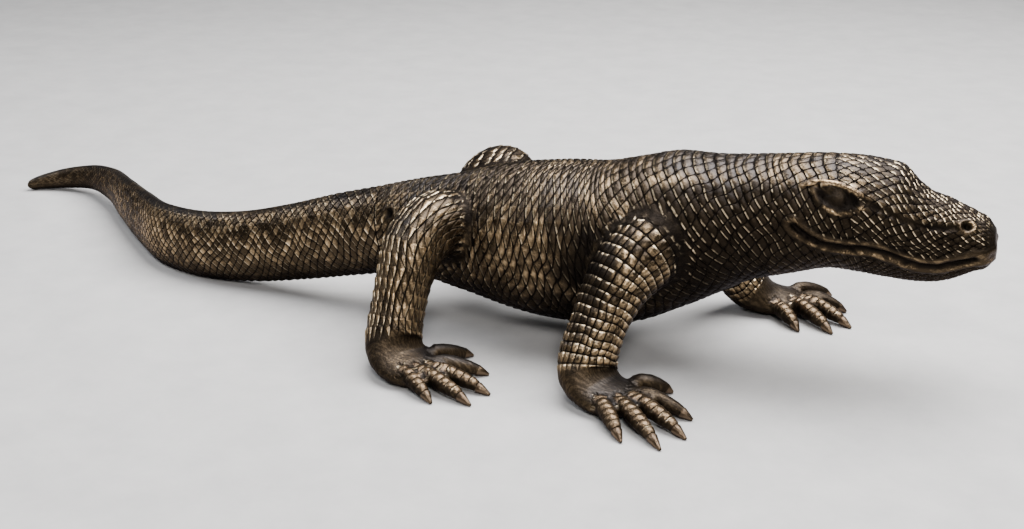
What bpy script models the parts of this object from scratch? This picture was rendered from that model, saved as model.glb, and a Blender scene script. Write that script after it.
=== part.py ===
"""Komodo dragon figurine: one hollow bronze casting, modelled as one closed solid.

The animal walks with its head held level and its tail trailing in a loose curl. +X runs from
the tail to the snout, +Y to the animal's left and +Z up. The origin lies on the ground under
the middle of the figure. The figure is a free form, so its pose and carving are written in
shares, about a thousandth of its length each, and LENGTH sets its real size.
"""
import math

import bmesh
import bpy
import numpy as np

# Driving size in metres, from the snout to the back of the tail's curl
LENGTH = 0.450

# The length in shares
LENGTH_IN_SHARES = 1005.3
SHARE = LENGTH / LENGTH_IN_SHARES

# Mesh density: rings along a form and columns around it
BODY_COLUMNS = 32
BODY_RINGS = 44
HEAD_RINGS = 36
LEG_COLUMNS = 16
LEG_RINGS = 13
TOE_COLUMNS = 8

# Body from the tail's tip to the snout, in shares: x, y and z of the axis, half width,
# height above the axis, depth below it, and the fullness of the upper half, where 2 is
# an ellipse and less is a keeled back
BODY = [
    (-498.6, 152, 5.5, 3.8, 4.8, 5.2, 2.0),
    (-492, 158, 7.5, 5.8, 6.6, 6.9, 2.0),
    (-470, 168.5, 11.5, 8, 10.3, 10.3, 2.0),
    (-428, 169, 18.3, 9, 13.7, 13.3, 1.9),
    (-381, 143.5, 23.5, 10.5, 18.5, 18.3, 1.8),
    (-326.5, 96, 26.5, 12.5, 24.5, 25, 1.7),
    (-274, 51, 28, 14, 29, 29, 1.7),
    (-225, 15, 30, 16, 31, 31, 1.7),
    (-179, 1, 32, 18, 32, 32, 1.7),
    (-126, -1, 38, 20, 33, 34, 1.7),
    (-75, 0, 49, 22, 35, 36, 1.8),
    (-26, 0, 62, 26, 37.4, 38, 1.9),
    (12, 0, 71, 32, 38.8, 39, 2.0),
    (45, 0, 77, 42, 42.3, 42, 2.0),
    (86, 0, 79, 53, 51, 50, 2.0),
    (125, 0, 81, 61, 60.5, 60, 2.0),
    (173, 0, 82, 66, 66.5, 66, 2.0),
    (215, 0, 87, 66, 65.3, 68, 2.0),
    (250, 0, 98, 61, 63.2, 63, 2.0),
    (282, 0, 109, 55, 60.4, 57, 2.0),
    (310, 0, 118, 48, 50.8, 51, 2.0),
    (345, 0, 126, 42, 46.5, 48, 2.0),
    (385, 0, 132, 40, 45, 43.5, 2.0),
    (412, 0, 131.3, 38.5, 45.4, 43.5, 2.0),
    (427, 0, 129, 36, 44.3, 42.5, 2.0),
    (437, 0, 127, 34, 36.3, 41.5, 2.0),
    (447, 0, 124.5, 31.3, 32.2, 39.8, 2.0),
    (456, 0, 122.5, 29.2, 31.8, 37.6, 2.0),
    (466, 0, 120.8, 27.4, 31, 34.2, 2.0),
    (477, 0, 120, 25.2, 28, 28.8, 2.0),
    (489, 0, 120, 23.3, 23.8, 21, 2.0),
    (499.5, 0, 121, 20, 17.6, 15.6, 2.0),
    (503.6, 0, 121.5, 14.5, 11, 9.5, 2.0),
]
HEAD_START = 345

# Two lines carved along each side of the head, by x, as angles from the crown: the groove that
# runs from the eye to the nostril, and the gap of the mouth
FACE_X = (345, 365, 390, 416, 441, 465, 490, 505)
EYE_GROOVE_ANGLE = (58, 58, 58, 58, 63, 62, 50, 45)
MOUTH_ANGLE = (86, 88, 103, 110, 119, 116, 112, 108)

# Columns of one side of a head ring that keep to those lines
EYE_COLUMN = 5
MOUTH_COLUMN = 10
GROOVE_WIDTH_ANGLE = 9
LIP_ANGLE = 6.5

# Depths and heights of the carving on the head, in shares
MOUTH_DEPTH = 2.8
MOUTH_SPAN = (362, 505)
LIP_RISE = 1.3
EYE_GROOVE_DEPTH = 3.0
EYE_GROOVE_SPAN = (408, 480)
BROW_RISE = 3.4
BROW_SPAN = (362, 414)
EYE_AT = (389, 29.5, 151.5)
EYE_RADIUS = 9.0
NOSTRIL_AT = (483, 17.5, 138.6)
NOSTRIL_RADIUS = 3.2

# Legs, from the root inside the body to the front of the foot, in shares: x, y and z of the
# axis, half width across the foot and half thickness. The side is the foot's own width direction.
LEGS = {
    "right_foreleg": {
        "side": (0.42, 0.91),
        "stations": [
            (266, -20, 104, 28, 28), (254, -46, 101, 31, 30), (246, -60, 93, 29, 28),
            (238, -73, 81, 26, 26), (232, -86, 64, 23, 23), (228, -98, 47, 22, 22),
            (226, -107, 32, 23, 22), (228, -114, 19, 25, 19), (239, -120, 11, 26, 13),
            (253, -125, 8, 25, 11), (267, -129, 6, 20, 8),
        ],
        "toes": [
            ((244, -137), (273, -176)), ((258, -134), (302, -177)), ((268, -127), (315, -155)),
            ((270, -117), (312, -124)), ((262, -98), (287, -85)),
        ],
    },
    "left_foreleg": {
        "side": (0.05, 1.0),
        "stations": [
            (266, 20, 104, 28, 28), (262, 46, 101, 31, 30), (262, 60, 93, 29, 28),
            (266, 73, 81, 26, 26), (274, 85, 64, 23, 23), (285, 94, 47, 22, 22),
            (296, 100, 32, 22, 21), (307, 104, 19, 24, 19), (321, 107, 11, 25, 13),
            (336, 110, 8, 23, 11), (350, 112, 6, 20, 8),
        ],
        "toes": [
            ((331, 90), (356, 65)), ((346, 100), (383, 70)), ((352, 110), (396, 88)),
            ((352, 118), (387, 122)), ((341, 132), (369, 155)),
        ],
    },
    "right_hind_leg": {
        "side": (0.3, 0.95),
        "stations": [
            (100, -8, 72, 26, 26), (88, -33, 92, 29, 26), (78, -56, 100, 28, 25),
            (70, -75, 90, 26, 25), (67, -90, 69, 23, 24), (66, -101, 48, 22, 22),
            (66, -110, 31, 22.5, 23), (69, -118, 19, 24, 20), (79, -126, 11, 26, 13),
            (92, -131, 8, 25, 11), (106, -134, 6, 20, 8),
        ],
        "toes": [
            ((86, -142), (122, -167)), ((99, -139), (151, -160)), ((106, -131), (158, -138)),
            ((103, -121), (144, -105)), ((92, -108), (119, -76)),
        ],
    },
    "left_hind_leg": {
        "side": (-0.3, 0.95),
        "stations": [
            (106, 8, 76, 26, 26), (91, 33, 100, 30, 36), (89, 57, 107, 29, 35),
            (87, 77, 98, 26, 29), (80, 91, 72, 23, 24), (76, 101, 49, 22, 22),
            (74, 110, 31, 23, 22), (76, 117, 19, 25, 19), (88, 124, 11, 26, 13),
            (101, 129, 8, 25, 11), (114, 132, 6, 20, 8),
        ],
        "toes": [
            ((93, 142), (127, 165)), ((106, 139), (155, 158)), ((113, 131), (163, 137)),
            ((110, 121), (150, 105)), ((99, 108), (126, 77)),
        ],
    },
}

# One toe with its claw, by the share of the way from root to tip: height of the axis and radius
TOE = [
    (-0.30, 8.0, 6.0),
    (0.00, 10.0, 8.0),
    (0.22, 10.8, 7.6),
    (0.42, 9.6, 7.1),
    (0.60, 7.8, 6.3),
    (0.72, 6.6, 5.4),
    (0.87, 3.9, 3.4),
    (1.00, 1.3, 1.1),
]

# Bronze of the casting
BRONZE_COLOUR = (0.105, 0.072, 0.042, 1.0)
BRONZE_ROUGHNESS = 0.38

# Creases sharper than this stay sharp in smooth shading
SHARP_ANGLE = math.radians(48)

# Points closer than this are one point, in metres
MERGE_DISTANCE = 0.00002


def clear_objects():
    """Remove what a new scene starts with."""
    for item in list(bpy.data.objects):
        bpy.data.objects.remove(item, do_unlink=True)


def new_collection(name):
    """Return a new collection in the scene."""
    group = bpy.data.collections.new(name)
    bpy.context.scene.collection.children.link(group)
    return group


def bronze():
    """Dark patinated bronze, worn brighter on its raised parts."""
    material = bpy.data.materials.new("patinated_bronze")
    material.use_nodes = True
    shader = material.node_tree.nodes["Principled BSDF"]
    shader.inputs["Base Color"].default_value = BRONZE_COLOUR
    shader.inputs["Metallic"].default_value = 1.0
    shader.inputs["Roughness"].default_value = BRONZE_ROUGHNESS
    return material


def unit(vectors):
    """Scale each row to length one."""
    return vectors / np.linalg.norm(vectors, axis=-1, keepdims=True)


def through(stations, distances):
    """Smooth curve through the stations, read at distances along their axis."""
    stations = np.array(stations, float)
    steps = np.linalg.norm(np.diff(stations[:, :3], axis=0), axis=1)
    at = np.concatenate([[0], np.cumsum(steps)])
    slopes = np.gradient(stations, at, axis=0)
    where = np.interp(distances, [0, 1], [0, at[-1]])
    left = np.clip(np.searchsorted(at, where, side="right") - 1, 0, len(at) - 2)
    span = (at[left + 1] - at[left])[:, None]
    s = (where[:, None] - at[left][:, None]) / span
    start = (1 + 2 * s) * (1 - s) ** 2 * stations[left]
    start_slope = s * (1 - s) ** 2 * span * slopes[left]
    end = s ** 2 * (3 - 2 * s) * stations[left + 1]
    end_slope = s ** 2 * (s - 1) * span * slopes[left + 1]
    return start + start_slope + end + end_slope


def frames(axis, side):
    """Sideways and upward directions across an axis, carried back from a side wanted at its end."""
    along = unit(np.gradient(axis, axis=0))
    sideways = np.zeros_like(along)
    for ring in range(len(axis) - 1, -1, -1):
        side = unit(side - (side @ along[ring]) * along[ring])
        sideways[ring] = side
    return sideways, np.cross(along, sideways)


def body_distances():
    """Shares of the body's axis for its rings, closer together on the head."""
    axis = np.array(BODY, float)[:, :3]
    steps = np.linalg.norm(np.diff(axis, axis=0), axis=1)
    at = np.concatenate([[0], np.cumsum(steps)]) / steps.sum()
    neck = np.interp(HEAD_START, axis[:, 0], at)
    tail = np.linspace(0, neck, BODY_RINGS, endpoint=False)
    head = neck + (1 - neck) * np.sin(np.linspace(0, math.pi / 2, HEAD_RINGS)) ** 0.9
    return np.concatenate([tail, head])


def side_angles(x):
    """Angles from the crown of one side's columns, drawn to the face's lines on the head."""
    half = BODY_COLUMNS // 2
    columns = np.arange(half + 1)
    even = 180 * columns / half
    eye = np.interp(x, FACE_X, EYE_GROOVE_ANGLE)
    mouth = np.interp(x, FACE_X, MOUTH_ANGLE)
    knots = (0, EYE_COLUMN - 1, EYE_COLUMN, EYE_COLUMN + 1,
             MOUTH_COLUMN - 1, MOUTH_COLUMN, MOUTH_COLUMN + 1, half)
    angles = (0, eye - GROOVE_WIDTH_ANGLE, eye, eye + GROOVE_WIDTH_ANGLE,
              mouth - LIP_ANGLE, mouth, mouth + LIP_ANGLE, 180)
    drawn = np.interp(columns, knots, angles)
    weight = np.clip((x - FACE_X[0] + 40) / 40, 0, 1)
    return np.radians(even + weight * (drawn - even))


def swell(x, span, fade=10):
    """One inside the span, fading smoothly to nothing past its ends."""
    inside = np.clip(min(x - span[0], span[1] - x) / fade, 0, 1)
    return inside * inside * (3 - 2 * inside)


def face_relief(x, column):
    """Height of the carving over the plain head at a ring's x and a side's column."""
    if column == MOUTH_COLUMN:
        return -MOUTH_DEPTH * np.clip((x - MOUTH_SPAN[0]) / 8, 0, 1)
    if column in (MOUTH_COLUMN - 1, MOUTH_COLUMN + 1):
        return LIP_RISE * swell(x, MOUTH_SPAN)
    if column == EYE_COLUMN:
        return -EYE_GROOVE_DEPTH * swell(x, EYE_GROOVE_SPAN)
    if column == EYE_COLUMN - 1:
        return BROW_RISE * swell(x, BROW_SPAN) + 0.6 * swell(x, EYE_GROOVE_SPAN)
    return 0.0


def body_rings():
    """Rings of the body, from the tail's tip to the snout."""
    sections = through(BODY, body_distances())
    axis = sections[:, :3]
    up = np.array([0.0, 0.0, 1.0])
    along = unit(np.gradient(axis, axis=0))
    sideways = unit(np.cross(up, along))
    upward = np.cross(along, sideways)
    half = BODY_COLUMNS // 2
    rings = []
    for centre, side, top, values in zip(axis, sideways, upward, sections[:, 3:]):
        width, height, depth, fullness = values
        angles = side_angles(centre[0])
        left = []
        for column, angle in enumerate(angles):
            across = math.sin(angle)
            rise = math.cos(angle)
            grow = face_relief(centre[0], column)
            if rise > 0:
                tall = (height + grow) * rise ** (2 / fullness)
            else:
                tall = -(depth + grow) * abs(rise)
            left.append((across * (width + grow), tall))
        right = [(-across, tall) for across, tall in left[-2:0:-1]]
        ring = [centre + across * side + tall * top for across, tall in left + right]
        rings.append(ring)
    return rings


def leg_rings(leg):
    """Rings of one leg, from its root to the front of its foot."""
    sections = through(leg["stations"], np.linspace(0, 1, LEG_RINGS))
    axis = sections[:, :3]
    sideways, upward = frames(axis, np.array([*leg["side"], 0.0]))
    angles = np.linspace(0, 2 * math.pi, LEG_COLUMNS, endpoint=False)
    rings = []
    for centre, side, top, (width, thickness) in zip(axis, sideways, upward, sections[:, 3:]):
        ring = [centre + width * math.sin(a) * side + thickness * math.cos(a) * top for a in angles]
        rings.append(ring)
    return rings


def toe_rings(root, tip):
    """Rings of one toe and its claw, from inside the foot to the claw's point."""
    root = np.array([*root, 0.0])
    reach = np.array([*tip, 0.0]) - root
    axis = np.array([root + way * reach + (0, 0, height) for way, height, _ in TOE])
    sideways, upward = frames(axis, np.cross((0.0, 0.0, 1.0), reach))
    angles = np.linspace(0, 2 * math.pi, TOE_COLUMNS, endpoint=False)
    rings = []
    for centre, side, top, (_, _, radius) in zip(axis, sideways, upward, TOE):
        rings.append([centre + radius * (math.sin(a) * side + math.cos(a) * top) for a in angles])
    return rings


def loft(name, rings, group):
    """Closed skin over rings of equal count, with flat ends."""
    mesh = bmesh.new()
    layers = [[mesh.verts.new(np.array(point) * SHARE) for point in ring] for ring in rings]
    for low, high in zip(layers, layers[1:]):
        for column in range(len(low)):
            after = (column + 1) % len(low)
            mesh.faces.new((low[column], low[after], high[after], high[column]))
    mesh.faces.new(layers[0])
    mesh.faces.new(layers[-1])
    bmesh.ops.recalc_face_normals(mesh, faces=mesh.faces)
    data = bpy.data.meshes.new(name)
    mesh.to_mesh(data)
    mesh.free()
    item = bpy.data.objects.new(name, data)
    group.objects.link(item)
    return item


def ball(name, centre, radius, group, stretch=(1, 1, 1)):
    """Small sphere in shares, stretched along the axes."""
    mesh = bmesh.new()
    bmesh.ops.create_uvsphere(mesh, u_segments=12, v_segments=8, radius=radius * SHARE)
    bmesh.ops.scale(mesh, vec=stretch, verts=mesh.verts)
    bmesh.ops.translate(mesh, vec=[value * SHARE for value in centre], verts=mesh.verts)
    data = bpy.data.meshes.new(name)
    mesh.to_mesh(data)
    mesh.free()
    item = bpy.data.objects.new(name, data)
    group.objects.link(item)
    return item


def combine(target, other, operation):
    """Union with the other object, or cut by it, and keep the result as the target's mesh.

    Both are closed, and the exact solver loses the body when the fourth leg joins it.
    """
    step = target.modifiers.new(operation.lower(), "BOOLEAN")
    step.operation = operation
    step.solver = "MANIFOLD"
    step.object = other
    solid = bpy.data.meshes.new_from_object(target.evaluated_get(bpy.context.evaluated_depsgraph_get()))
    target.modifiers.remove(step)
    old = target.data
    target.data = solid
    bpy.data.meshes.remove(old)
    bpy.data.objects.remove(other, do_unlink=True)


def ground_block(group):
    """Block under the ground plane, which trims the soles and the tail's underside flat."""
    mesh = bmesh.new()
    size = LENGTH * 1.2
    bmesh.ops.create_cube(mesh, size=size)
    bmesh.ops.translate(mesh, vec=(0, 0, -size / 2), verts=mesh.verts)
    data = bpy.data.meshes.new("ground_block")
    mesh.to_mesh(data)
    mesh.free()
    item = bpy.data.objects.new("ground_block", data)
    item.hide_render = True
    item.display_type = "WIRE"
    group.objects.link(item)
    return item


def tidy(item):
    """Weld stray points and shade the form smooth, with its creases kept."""
    mesh = bmesh.new()
    mesh.from_mesh(item.data)
    bmesh.ops.remove_doubles(mesh, verts=mesh.verts, dist=MERGE_DISTANCE)
    bmesh.ops.dissolve_degenerate(mesh, edges=mesh.edges, dist=MERGE_DISTANCE)
    bmesh.ops.triangulate(mesh, faces=mesh.faces)
    mesh.to_mesh(item.data)
    mesh.free()
    item.data.shade_smooth()
    item.data.set_sharp_from_angle(angle=SHARP_ANGLE)


def add_face(dragon, group):
    """Eyeballs under the brows and the pits of the nostrils, on both sides."""
    for side in (-1, 1):
        x, y, z = EYE_AT
        combine(dragon, ball("eye", (x, side * y, z), EYE_RADIUS, group), "UNION")
        x, y, z = NOSTRIL_AT
        pit = ball("nostril_cutter", (x, side * y, z), NOSTRIL_RADIUS, group, (1.4, 1, 1))
        combine(dragon, pit, "DIFFERENCE")


def komodo_dragon():
    """The whole casting: body, four legs and twenty clawed toes in one solid."""
    group = new_collection("komodo_dragon_figurine")
    cutters = new_collection("cutters")
    dragon = loft("komodo_dragon", body_rings(), group)
    for name, leg in LEGS.items():
        limb = loft(name, leg_rings(leg), group)
        for root, tip in leg["toes"]:
            combine(limb, loft("toe", toe_rings(root, tip), group), "UNION")
        combine(dragon, limb, "UNION")
    add_face(dragon, cutters)
    combine(dragon, ground_block(cutters), "DIFFERENCE")
    tidy(dragon)
    dragon.data.materials.clear()
    dragon.data.materials.append(bronze())
    print("komodo_dragon", len(dragon.data.polygons), "triangles")
    return dragon


clear_objects()
komodo_dragon()
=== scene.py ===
# %% [markdown]
# # A Komodo dragon in cast bronze
# The figurine is one hollow casting. Its maker modelled the animal in wax, cut every scale with
# a small tool, cast it in bronze, darkened the metal and rubbed the high spots bright again.
# This lesson follows the same order: the smooth form first, then the scales, then the patina.
# Everything is measured in shares, each about a thousandth of the casting's length, which is read
# from the frame.

# %% Load the frame and take the unit of measure from it
import math

import bmesh
import bpy
import numpy as np
from mathutils import Matrix, Vector
from mathutils.kdtree import KDTree


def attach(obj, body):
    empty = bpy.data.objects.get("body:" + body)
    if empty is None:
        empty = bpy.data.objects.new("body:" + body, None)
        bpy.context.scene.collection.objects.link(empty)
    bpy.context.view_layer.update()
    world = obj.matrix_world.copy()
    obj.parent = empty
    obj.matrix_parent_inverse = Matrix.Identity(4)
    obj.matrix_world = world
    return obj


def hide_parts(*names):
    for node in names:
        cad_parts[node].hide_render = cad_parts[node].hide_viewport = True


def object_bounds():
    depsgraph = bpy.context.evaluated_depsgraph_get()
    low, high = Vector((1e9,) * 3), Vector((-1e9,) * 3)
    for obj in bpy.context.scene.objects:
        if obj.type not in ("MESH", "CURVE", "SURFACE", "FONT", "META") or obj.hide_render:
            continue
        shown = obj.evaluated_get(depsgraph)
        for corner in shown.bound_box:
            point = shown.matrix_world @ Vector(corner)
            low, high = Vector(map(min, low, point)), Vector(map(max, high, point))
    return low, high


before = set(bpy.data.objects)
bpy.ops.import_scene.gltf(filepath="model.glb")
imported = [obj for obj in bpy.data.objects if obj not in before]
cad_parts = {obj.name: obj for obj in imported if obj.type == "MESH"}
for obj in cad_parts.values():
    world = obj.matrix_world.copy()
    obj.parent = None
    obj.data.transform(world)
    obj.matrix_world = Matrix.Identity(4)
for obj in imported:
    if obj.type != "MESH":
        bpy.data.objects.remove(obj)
cad_low, cad_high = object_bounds()
LENGTH_IN_SHARES = 1005.95
SHARE = (cad_high.x - cad_low.x) / LENGTH_IN_SHARES
print("one share is", round(SHARE * 1000, 4), "mm")

# %% [markdown]
# ## The camera
# The photographer stood a little ahead of the animal's right flank and looked down at it. A
# camera is easiest to place by what it looks at, so its place follows from a target, a turn
# around the upright axis, a tilt and a distance.

# %% Camera
CAMERA_TARGET = (140.8, -45.5, 71.75)
CAMERA_TURN = math.radians(20.75)
CAMERA_TILT = math.radians(21)
CAMERA_DISTANCE = 1141.9
CAMERA_LENS = 50
CAMERA_SENSOR = 36


def place_camera():
    """Camera that looks at the target from a turn, a tilt and a distance."""
    flat = math.cos(CAMERA_TILT)
    back = Vector((math.sin(CAMERA_TURN) * flat, -math.cos(CAMERA_TURN) * flat, math.sin(CAMERA_TILT)))
    right = Vector((math.cos(CAMERA_TURN), math.sin(CAMERA_TURN), 0))
    turn = Matrix((right, back.cross(right), back)).transposed().to_4x4()
    turn.translation = (Vector(CAMERA_TARGET) + back * CAMERA_DISTANCE) * SHARE
    camera = bpy.data.objects.new("camera", bpy.data.cameras.new("camera"))
    camera.matrix_world = turn
    camera.data.lens = CAMERA_LENS
    camera.data.sensor_width = CAMERA_SENSOR
    bpy.context.scene.collection.objects.link(camera)
    bpy.context.scene.camera = camera
    return camera


place_camera()
print("camera", CAMERA_DISTANCE, "shares from its target")

# %% [markdown]
# ## The studio
# The casting stands on a pale matte floor with faint clouds in it, under large soft lights. Dark
# metal shows little of its own colour and much of what it mirrors, so the lights are broad: one
# overhead and a little behind for the sheen along the back, two weaker ones from in front and
# from beyond the tail, and a faint grey surround that keeps the shadows open.

# %% Floor
FLOOR_SIZE = 9000
FLOOR_DARK = (0.38, 0.38, 0.39, 1)
FLOOR_LIGHT = (0.59, 0.583, 0.585, 1)
FLOOR_CLOUDS = {"Scale": 45, "Detail": 8, "Roughness": 0.7}
FLOOR_ROUGHNESS = 0.75


def make_floor():
    """Pale, slightly cloudy plaster floor, marked as stage."""
    mesh = bmesh.new()
    bmesh.ops.create_grid(mesh, x_segments=1, y_segments=1, size=FLOOR_SIZE * SHARE / 2)
    data = bpy.data.meshes.new("floor")
    mesh.to_mesh(data)
    mesh.free()
    floor = bpy.data.objects.new("floor", data)
    bpy.context.scene.collection.objects.link(floor)
    material = bpy.data.materials.new("pale_floor")
    material.use_nodes = True
    nodes, links = material.node_tree.nodes, material.node_tree.links
    shader = nodes["Principled BSDF"]
    shader.inputs["Roughness"].default_value = FLOOR_ROUGHNESS
    place = nodes.new("ShaderNodeTexCoord")
    clouds = nodes.new("ShaderNodeTexNoise")
    for name, value in FLOOR_CLOUDS.items():
        clouds.inputs[name].default_value = value
    blend = nodes.new("ShaderNodeMix")
    blend.data_type = "RGBA"
    blend.inputs[6].default_value = FLOOR_DARK
    blend.inputs[7].default_value = FLOOR_LIGHT
    links.new(place.outputs["Object"], clouds.inputs["Vector"])
    links.new(clouds.outputs["Fac"], blend.inputs[0])
    links.new(blend.outputs[2], shader.inputs["Base Color"])
    floor.data.materials.append(material)


make_floor()
print("floor", round(FLOOR_SIZE * SHARE, 1), "m wide")

# %% [markdown]
# ## The lights
# An area light is a glowing square: the larger it is, the softer the shadow's edge. Each one is
# placed and turned to look at its target.

# %% Lights
SURROUND_COLOUR = (0.80, 0.82, 0.86, 1)
SURROUND_STRENGTH = 0.10
# Name, place and target in shares, side length in shares, power in watts, colour
LIGHTS = [
    ("overhead", (430, 450, 1600), (100, 0, 60), 1700, 23.5, (1.0, 0.985, 0.96)),
    ("front", (900, -1700, 1400), (150, 0, 60), 500, 6.5, (1.0, 0.97, 0.93)),
    ("left", (-1500, -300, 1500), (0, 0, 50), 700, 3.5, (0.95, 0.97, 1.0)),
]


def make_lights():
    """Soft area lights and an even surround."""
    for name, place, target, size, power, colour in LIGHTS:
        data = bpy.data.lights.new(name, "AREA")
        data.size = size * SHARE
        data.energy = power
        data.color = colour
        light = bpy.data.objects.new(name, data)
        light.location = Vector(place) * SHARE
        aim = Vector(target) * SHARE - light.location
        light.rotation_euler = aim.to_track_quat("-Z", "Y").to_euler()
        bpy.context.scene.collection.objects.link(light)
    world = bpy.data.worlds.new("surround")
    world.use_nodes = True
    background = world.node_tree.nodes["Background"]
    background.inputs["Color"].default_value = SURROUND_COLOUR
    background.inputs["Strength"].default_value = SURROUND_STRENGTH
    bpy.context.scene.world = world


make_lights()
print("studio with", len(LIGHTS), "lights")

# %% [markdown]
# ## The smooth form
# A sculptor starts from an armature: a bent line with a cross-section at each place that
# matters. The tables below are that armature. A smooth curve is drawn through the stations, so
# a dozen numbers give a whole limb. The same stations shape the solid in the frame.

# %% Stations of the body
# x, y and z of the axis, half width, height above it, depth below it, fullness of the top
BODY = [
    (-498.6, 152, 5.5, 3.8, 4.8, 5.2, 2.0),
    (-492, 158, 7.5, 5.8, 6.6, 6.9, 2.0),
    (-470, 168.5, 11.5, 8, 10.3, 10.3, 2.0),
    (-428, 169, 18.3, 9, 13.7, 13.3, 1.9),
    (-381, 143.5, 23.5, 10.5, 18.5, 18.3, 1.8),
    (-326.5, 96, 26.5, 12.5, 24.5, 25, 1.7),
    (-274, 51, 28, 14, 29, 29, 1.7),
    (-225, 15, 30, 16, 31, 31, 1.7),
    (-179, 1, 32, 18, 32, 32, 1.7),
    (-126, -1, 38, 20, 33, 34, 1.7),
    (-75, 0, 49, 22, 35, 36, 1.8),
    (-26, 0, 62, 26, 37.4, 38, 1.9),
    (12, 0, 71, 32, 38.8, 39, 2.0),
    (45, 0, 77, 42, 42.3, 42, 2.0),
    (86, 0, 79, 53, 51, 50, 2.0),
    (125, 0, 81, 61, 60.5, 60, 2.0),
    (173, 0, 82, 66, 66.5, 66, 2.0),
    (215, 0, 87, 66, 65.3, 68, 2.0),
    (250, 0, 98, 61, 63.2, 63, 2.0),
    (282, 0, 109, 55, 60.4, 57, 2.0),
    (310, 0, 118, 48, 50.8, 51, 2.0),
    (345, 0, 126, 42, 46.5, 48, 2.0),
    (385, 0, 132, 40, 45, 43.5, 2.0),
    (412, 0, 131.3, 38.5, 45.4, 43.5, 2.0),
    (427, 0, 129, 36, 44.3, 42.5, 2.0),
    (437, 0, 127, 34, 36.3, 41.5, 2.0),
    (447, 0, 124.5, 31.3, 32.2, 39.8, 2.0),
    (456, 0, 122.5, 29.2, 31.8, 37.6, 2.0),
    (466, 0, 120.8, 27.4, 31, 34.2, 2.0),
    (477, 0, 120, 25.2, 28, 28.8, 2.0),
    (489, 0, 120, 23.3, 23.8, 21, 2.0),
    (499.5, 0, 121, 20, 17.6, 15.6, 2.0),
    (503.6, 0, 121.5, 14.5, 11, 9.5, 2.0),
]
print("the body has", len(BODY), "stations")

# %% [markdown]
# ## The legs' stations
# A leg is a bent line too, from inside the body over its elbow or knee down to the palm. The four
# stand in mid-stride, so each has a table of its own. All toes share one table, stretched from
# the place where a toe leaves the foot to the tip of its claw.

# %% Stations of the legs and toes
# Stations: x, y and z of the axis, half width across the foot, half thickness.
# Toes: where each leaves the foot and where its claw ends, outermost first.
LEGS = {
    "right_foreleg": {
        "side": (0.42, 0.91),
        "stations": [
            (266, -20, 104, 28, 28), (254, -46, 101, 31, 30), (246, -60, 93, 29, 28),
            (238, -73, 81, 26, 26), (232, -86, 64, 23, 23), (228, -98, 47, 22, 22),
            (226, -107, 32, 23, 22), (228, -114, 19, 25, 19), (239, -120, 11, 26, 13),
            (253, -125, 8, 25, 11), (267, -129, 6, 20, 8),
        ],
        "toes": [
            ((244, -137), (273, -176)), ((258, -134), (302, -177)), ((268, -127), (315, -155)),
            ((270, -117), (312, -124)), ((262, -98), (287, -85)),
        ],
    },
    "left_foreleg": {
        "side": (0.05, 1.0),
        "stations": [
            (266, 20, 104, 28, 28), (262, 46, 101, 31, 30), (262, 60, 93, 29, 28),
            (266, 73, 81, 26, 26), (274, 85, 64, 23, 23), (285, 94, 47, 22, 22),
            (296, 100, 32, 22, 21), (307, 104, 19, 24, 19), (321, 107, 11, 25, 13),
            (336, 110, 8, 23, 11), (350, 112, 6, 20, 8),
        ],
        "toes": [
            ((331, 90), (356, 65)), ((346, 100), (383, 70)), ((352, 110), (396, 88)),
            ((352, 118), (387, 122)), ((341, 132), (369, 155)),
        ],
    },
    "right_hind_leg": {
        "side": (0.3, 0.95),
        "stations": [
            (100, -8, 72, 26, 26), (88, -33, 92, 29, 26), (78, -56, 100, 28, 25),
            (70, -75, 90, 26, 25), (67, -90, 69, 23, 24), (66, -101, 48, 22, 22),
            (66, -110, 31, 22.5, 23), (69, -118, 19, 24, 20), (79, -126, 11, 26, 13),
            (92, -131, 8, 25, 11), (106, -134, 6, 20, 8),
        ],
        "toes": [
            ((86, -142), (122, -167)), ((99, -139), (151, -160)), ((106, -131), (158, -138)),
            ((103, -121), (144, -105)), ((92, -108), (119, -76)),
        ],
    },
    "left_hind_leg": {
        "side": (-0.3, 0.95),
        "stations": [
            (106, 8, 76, 26, 26), (91, 33, 100, 30, 36), (89, 57, 107, 29, 35),
            (87, 77, 98, 26, 29), (80, 91, 72, 23, 24), (76, 101, 49, 22, 22),
            (74, 110, 31, 23, 22), (76, 117, 19, 25, 19), (88, 124, 11, 26, 13),
            (101, 129, 8, 25, 11), (114, 132, 6, 20, 8),
        ],
        "toes": [
            ((93, 142), (127, 165)), ((106, 139), (155, 158)), ((113, 131), (163, 137)),
            ((110, 121), (150, 105)), ((99, 108), (126, 77)),
        ],
    },
}
# Share of the way from root to claw's tip, height of the axis, radius
TOE = [
    (-0.30, 8.0, 6.0), (0.00, 10.0, 8.0), (0.22, 10.8, 7.6), (0.42, 9.6, 7.1),
    (0.60, 7.8, 6.3), (0.72, 6.6, 5.4), (0.87, 3.9, 3.4), (1.00, 1.3, 1.1),
]
print("legs:", ", ".join(LEGS))

# %% [markdown]
# ## Curves through the stations
# Straight pieces between the stations would show as kinks. A cubic piece between each two of
# them, with the same slope on both sides of every station, passes through them all smoothly.

# %% Smooth curves
TABLE_ROWS = 2400


def unit(vectors):
    """Scale each row to length one."""
    return vectors / np.linalg.norm(vectors, axis=-1, keepdims=True)


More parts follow.
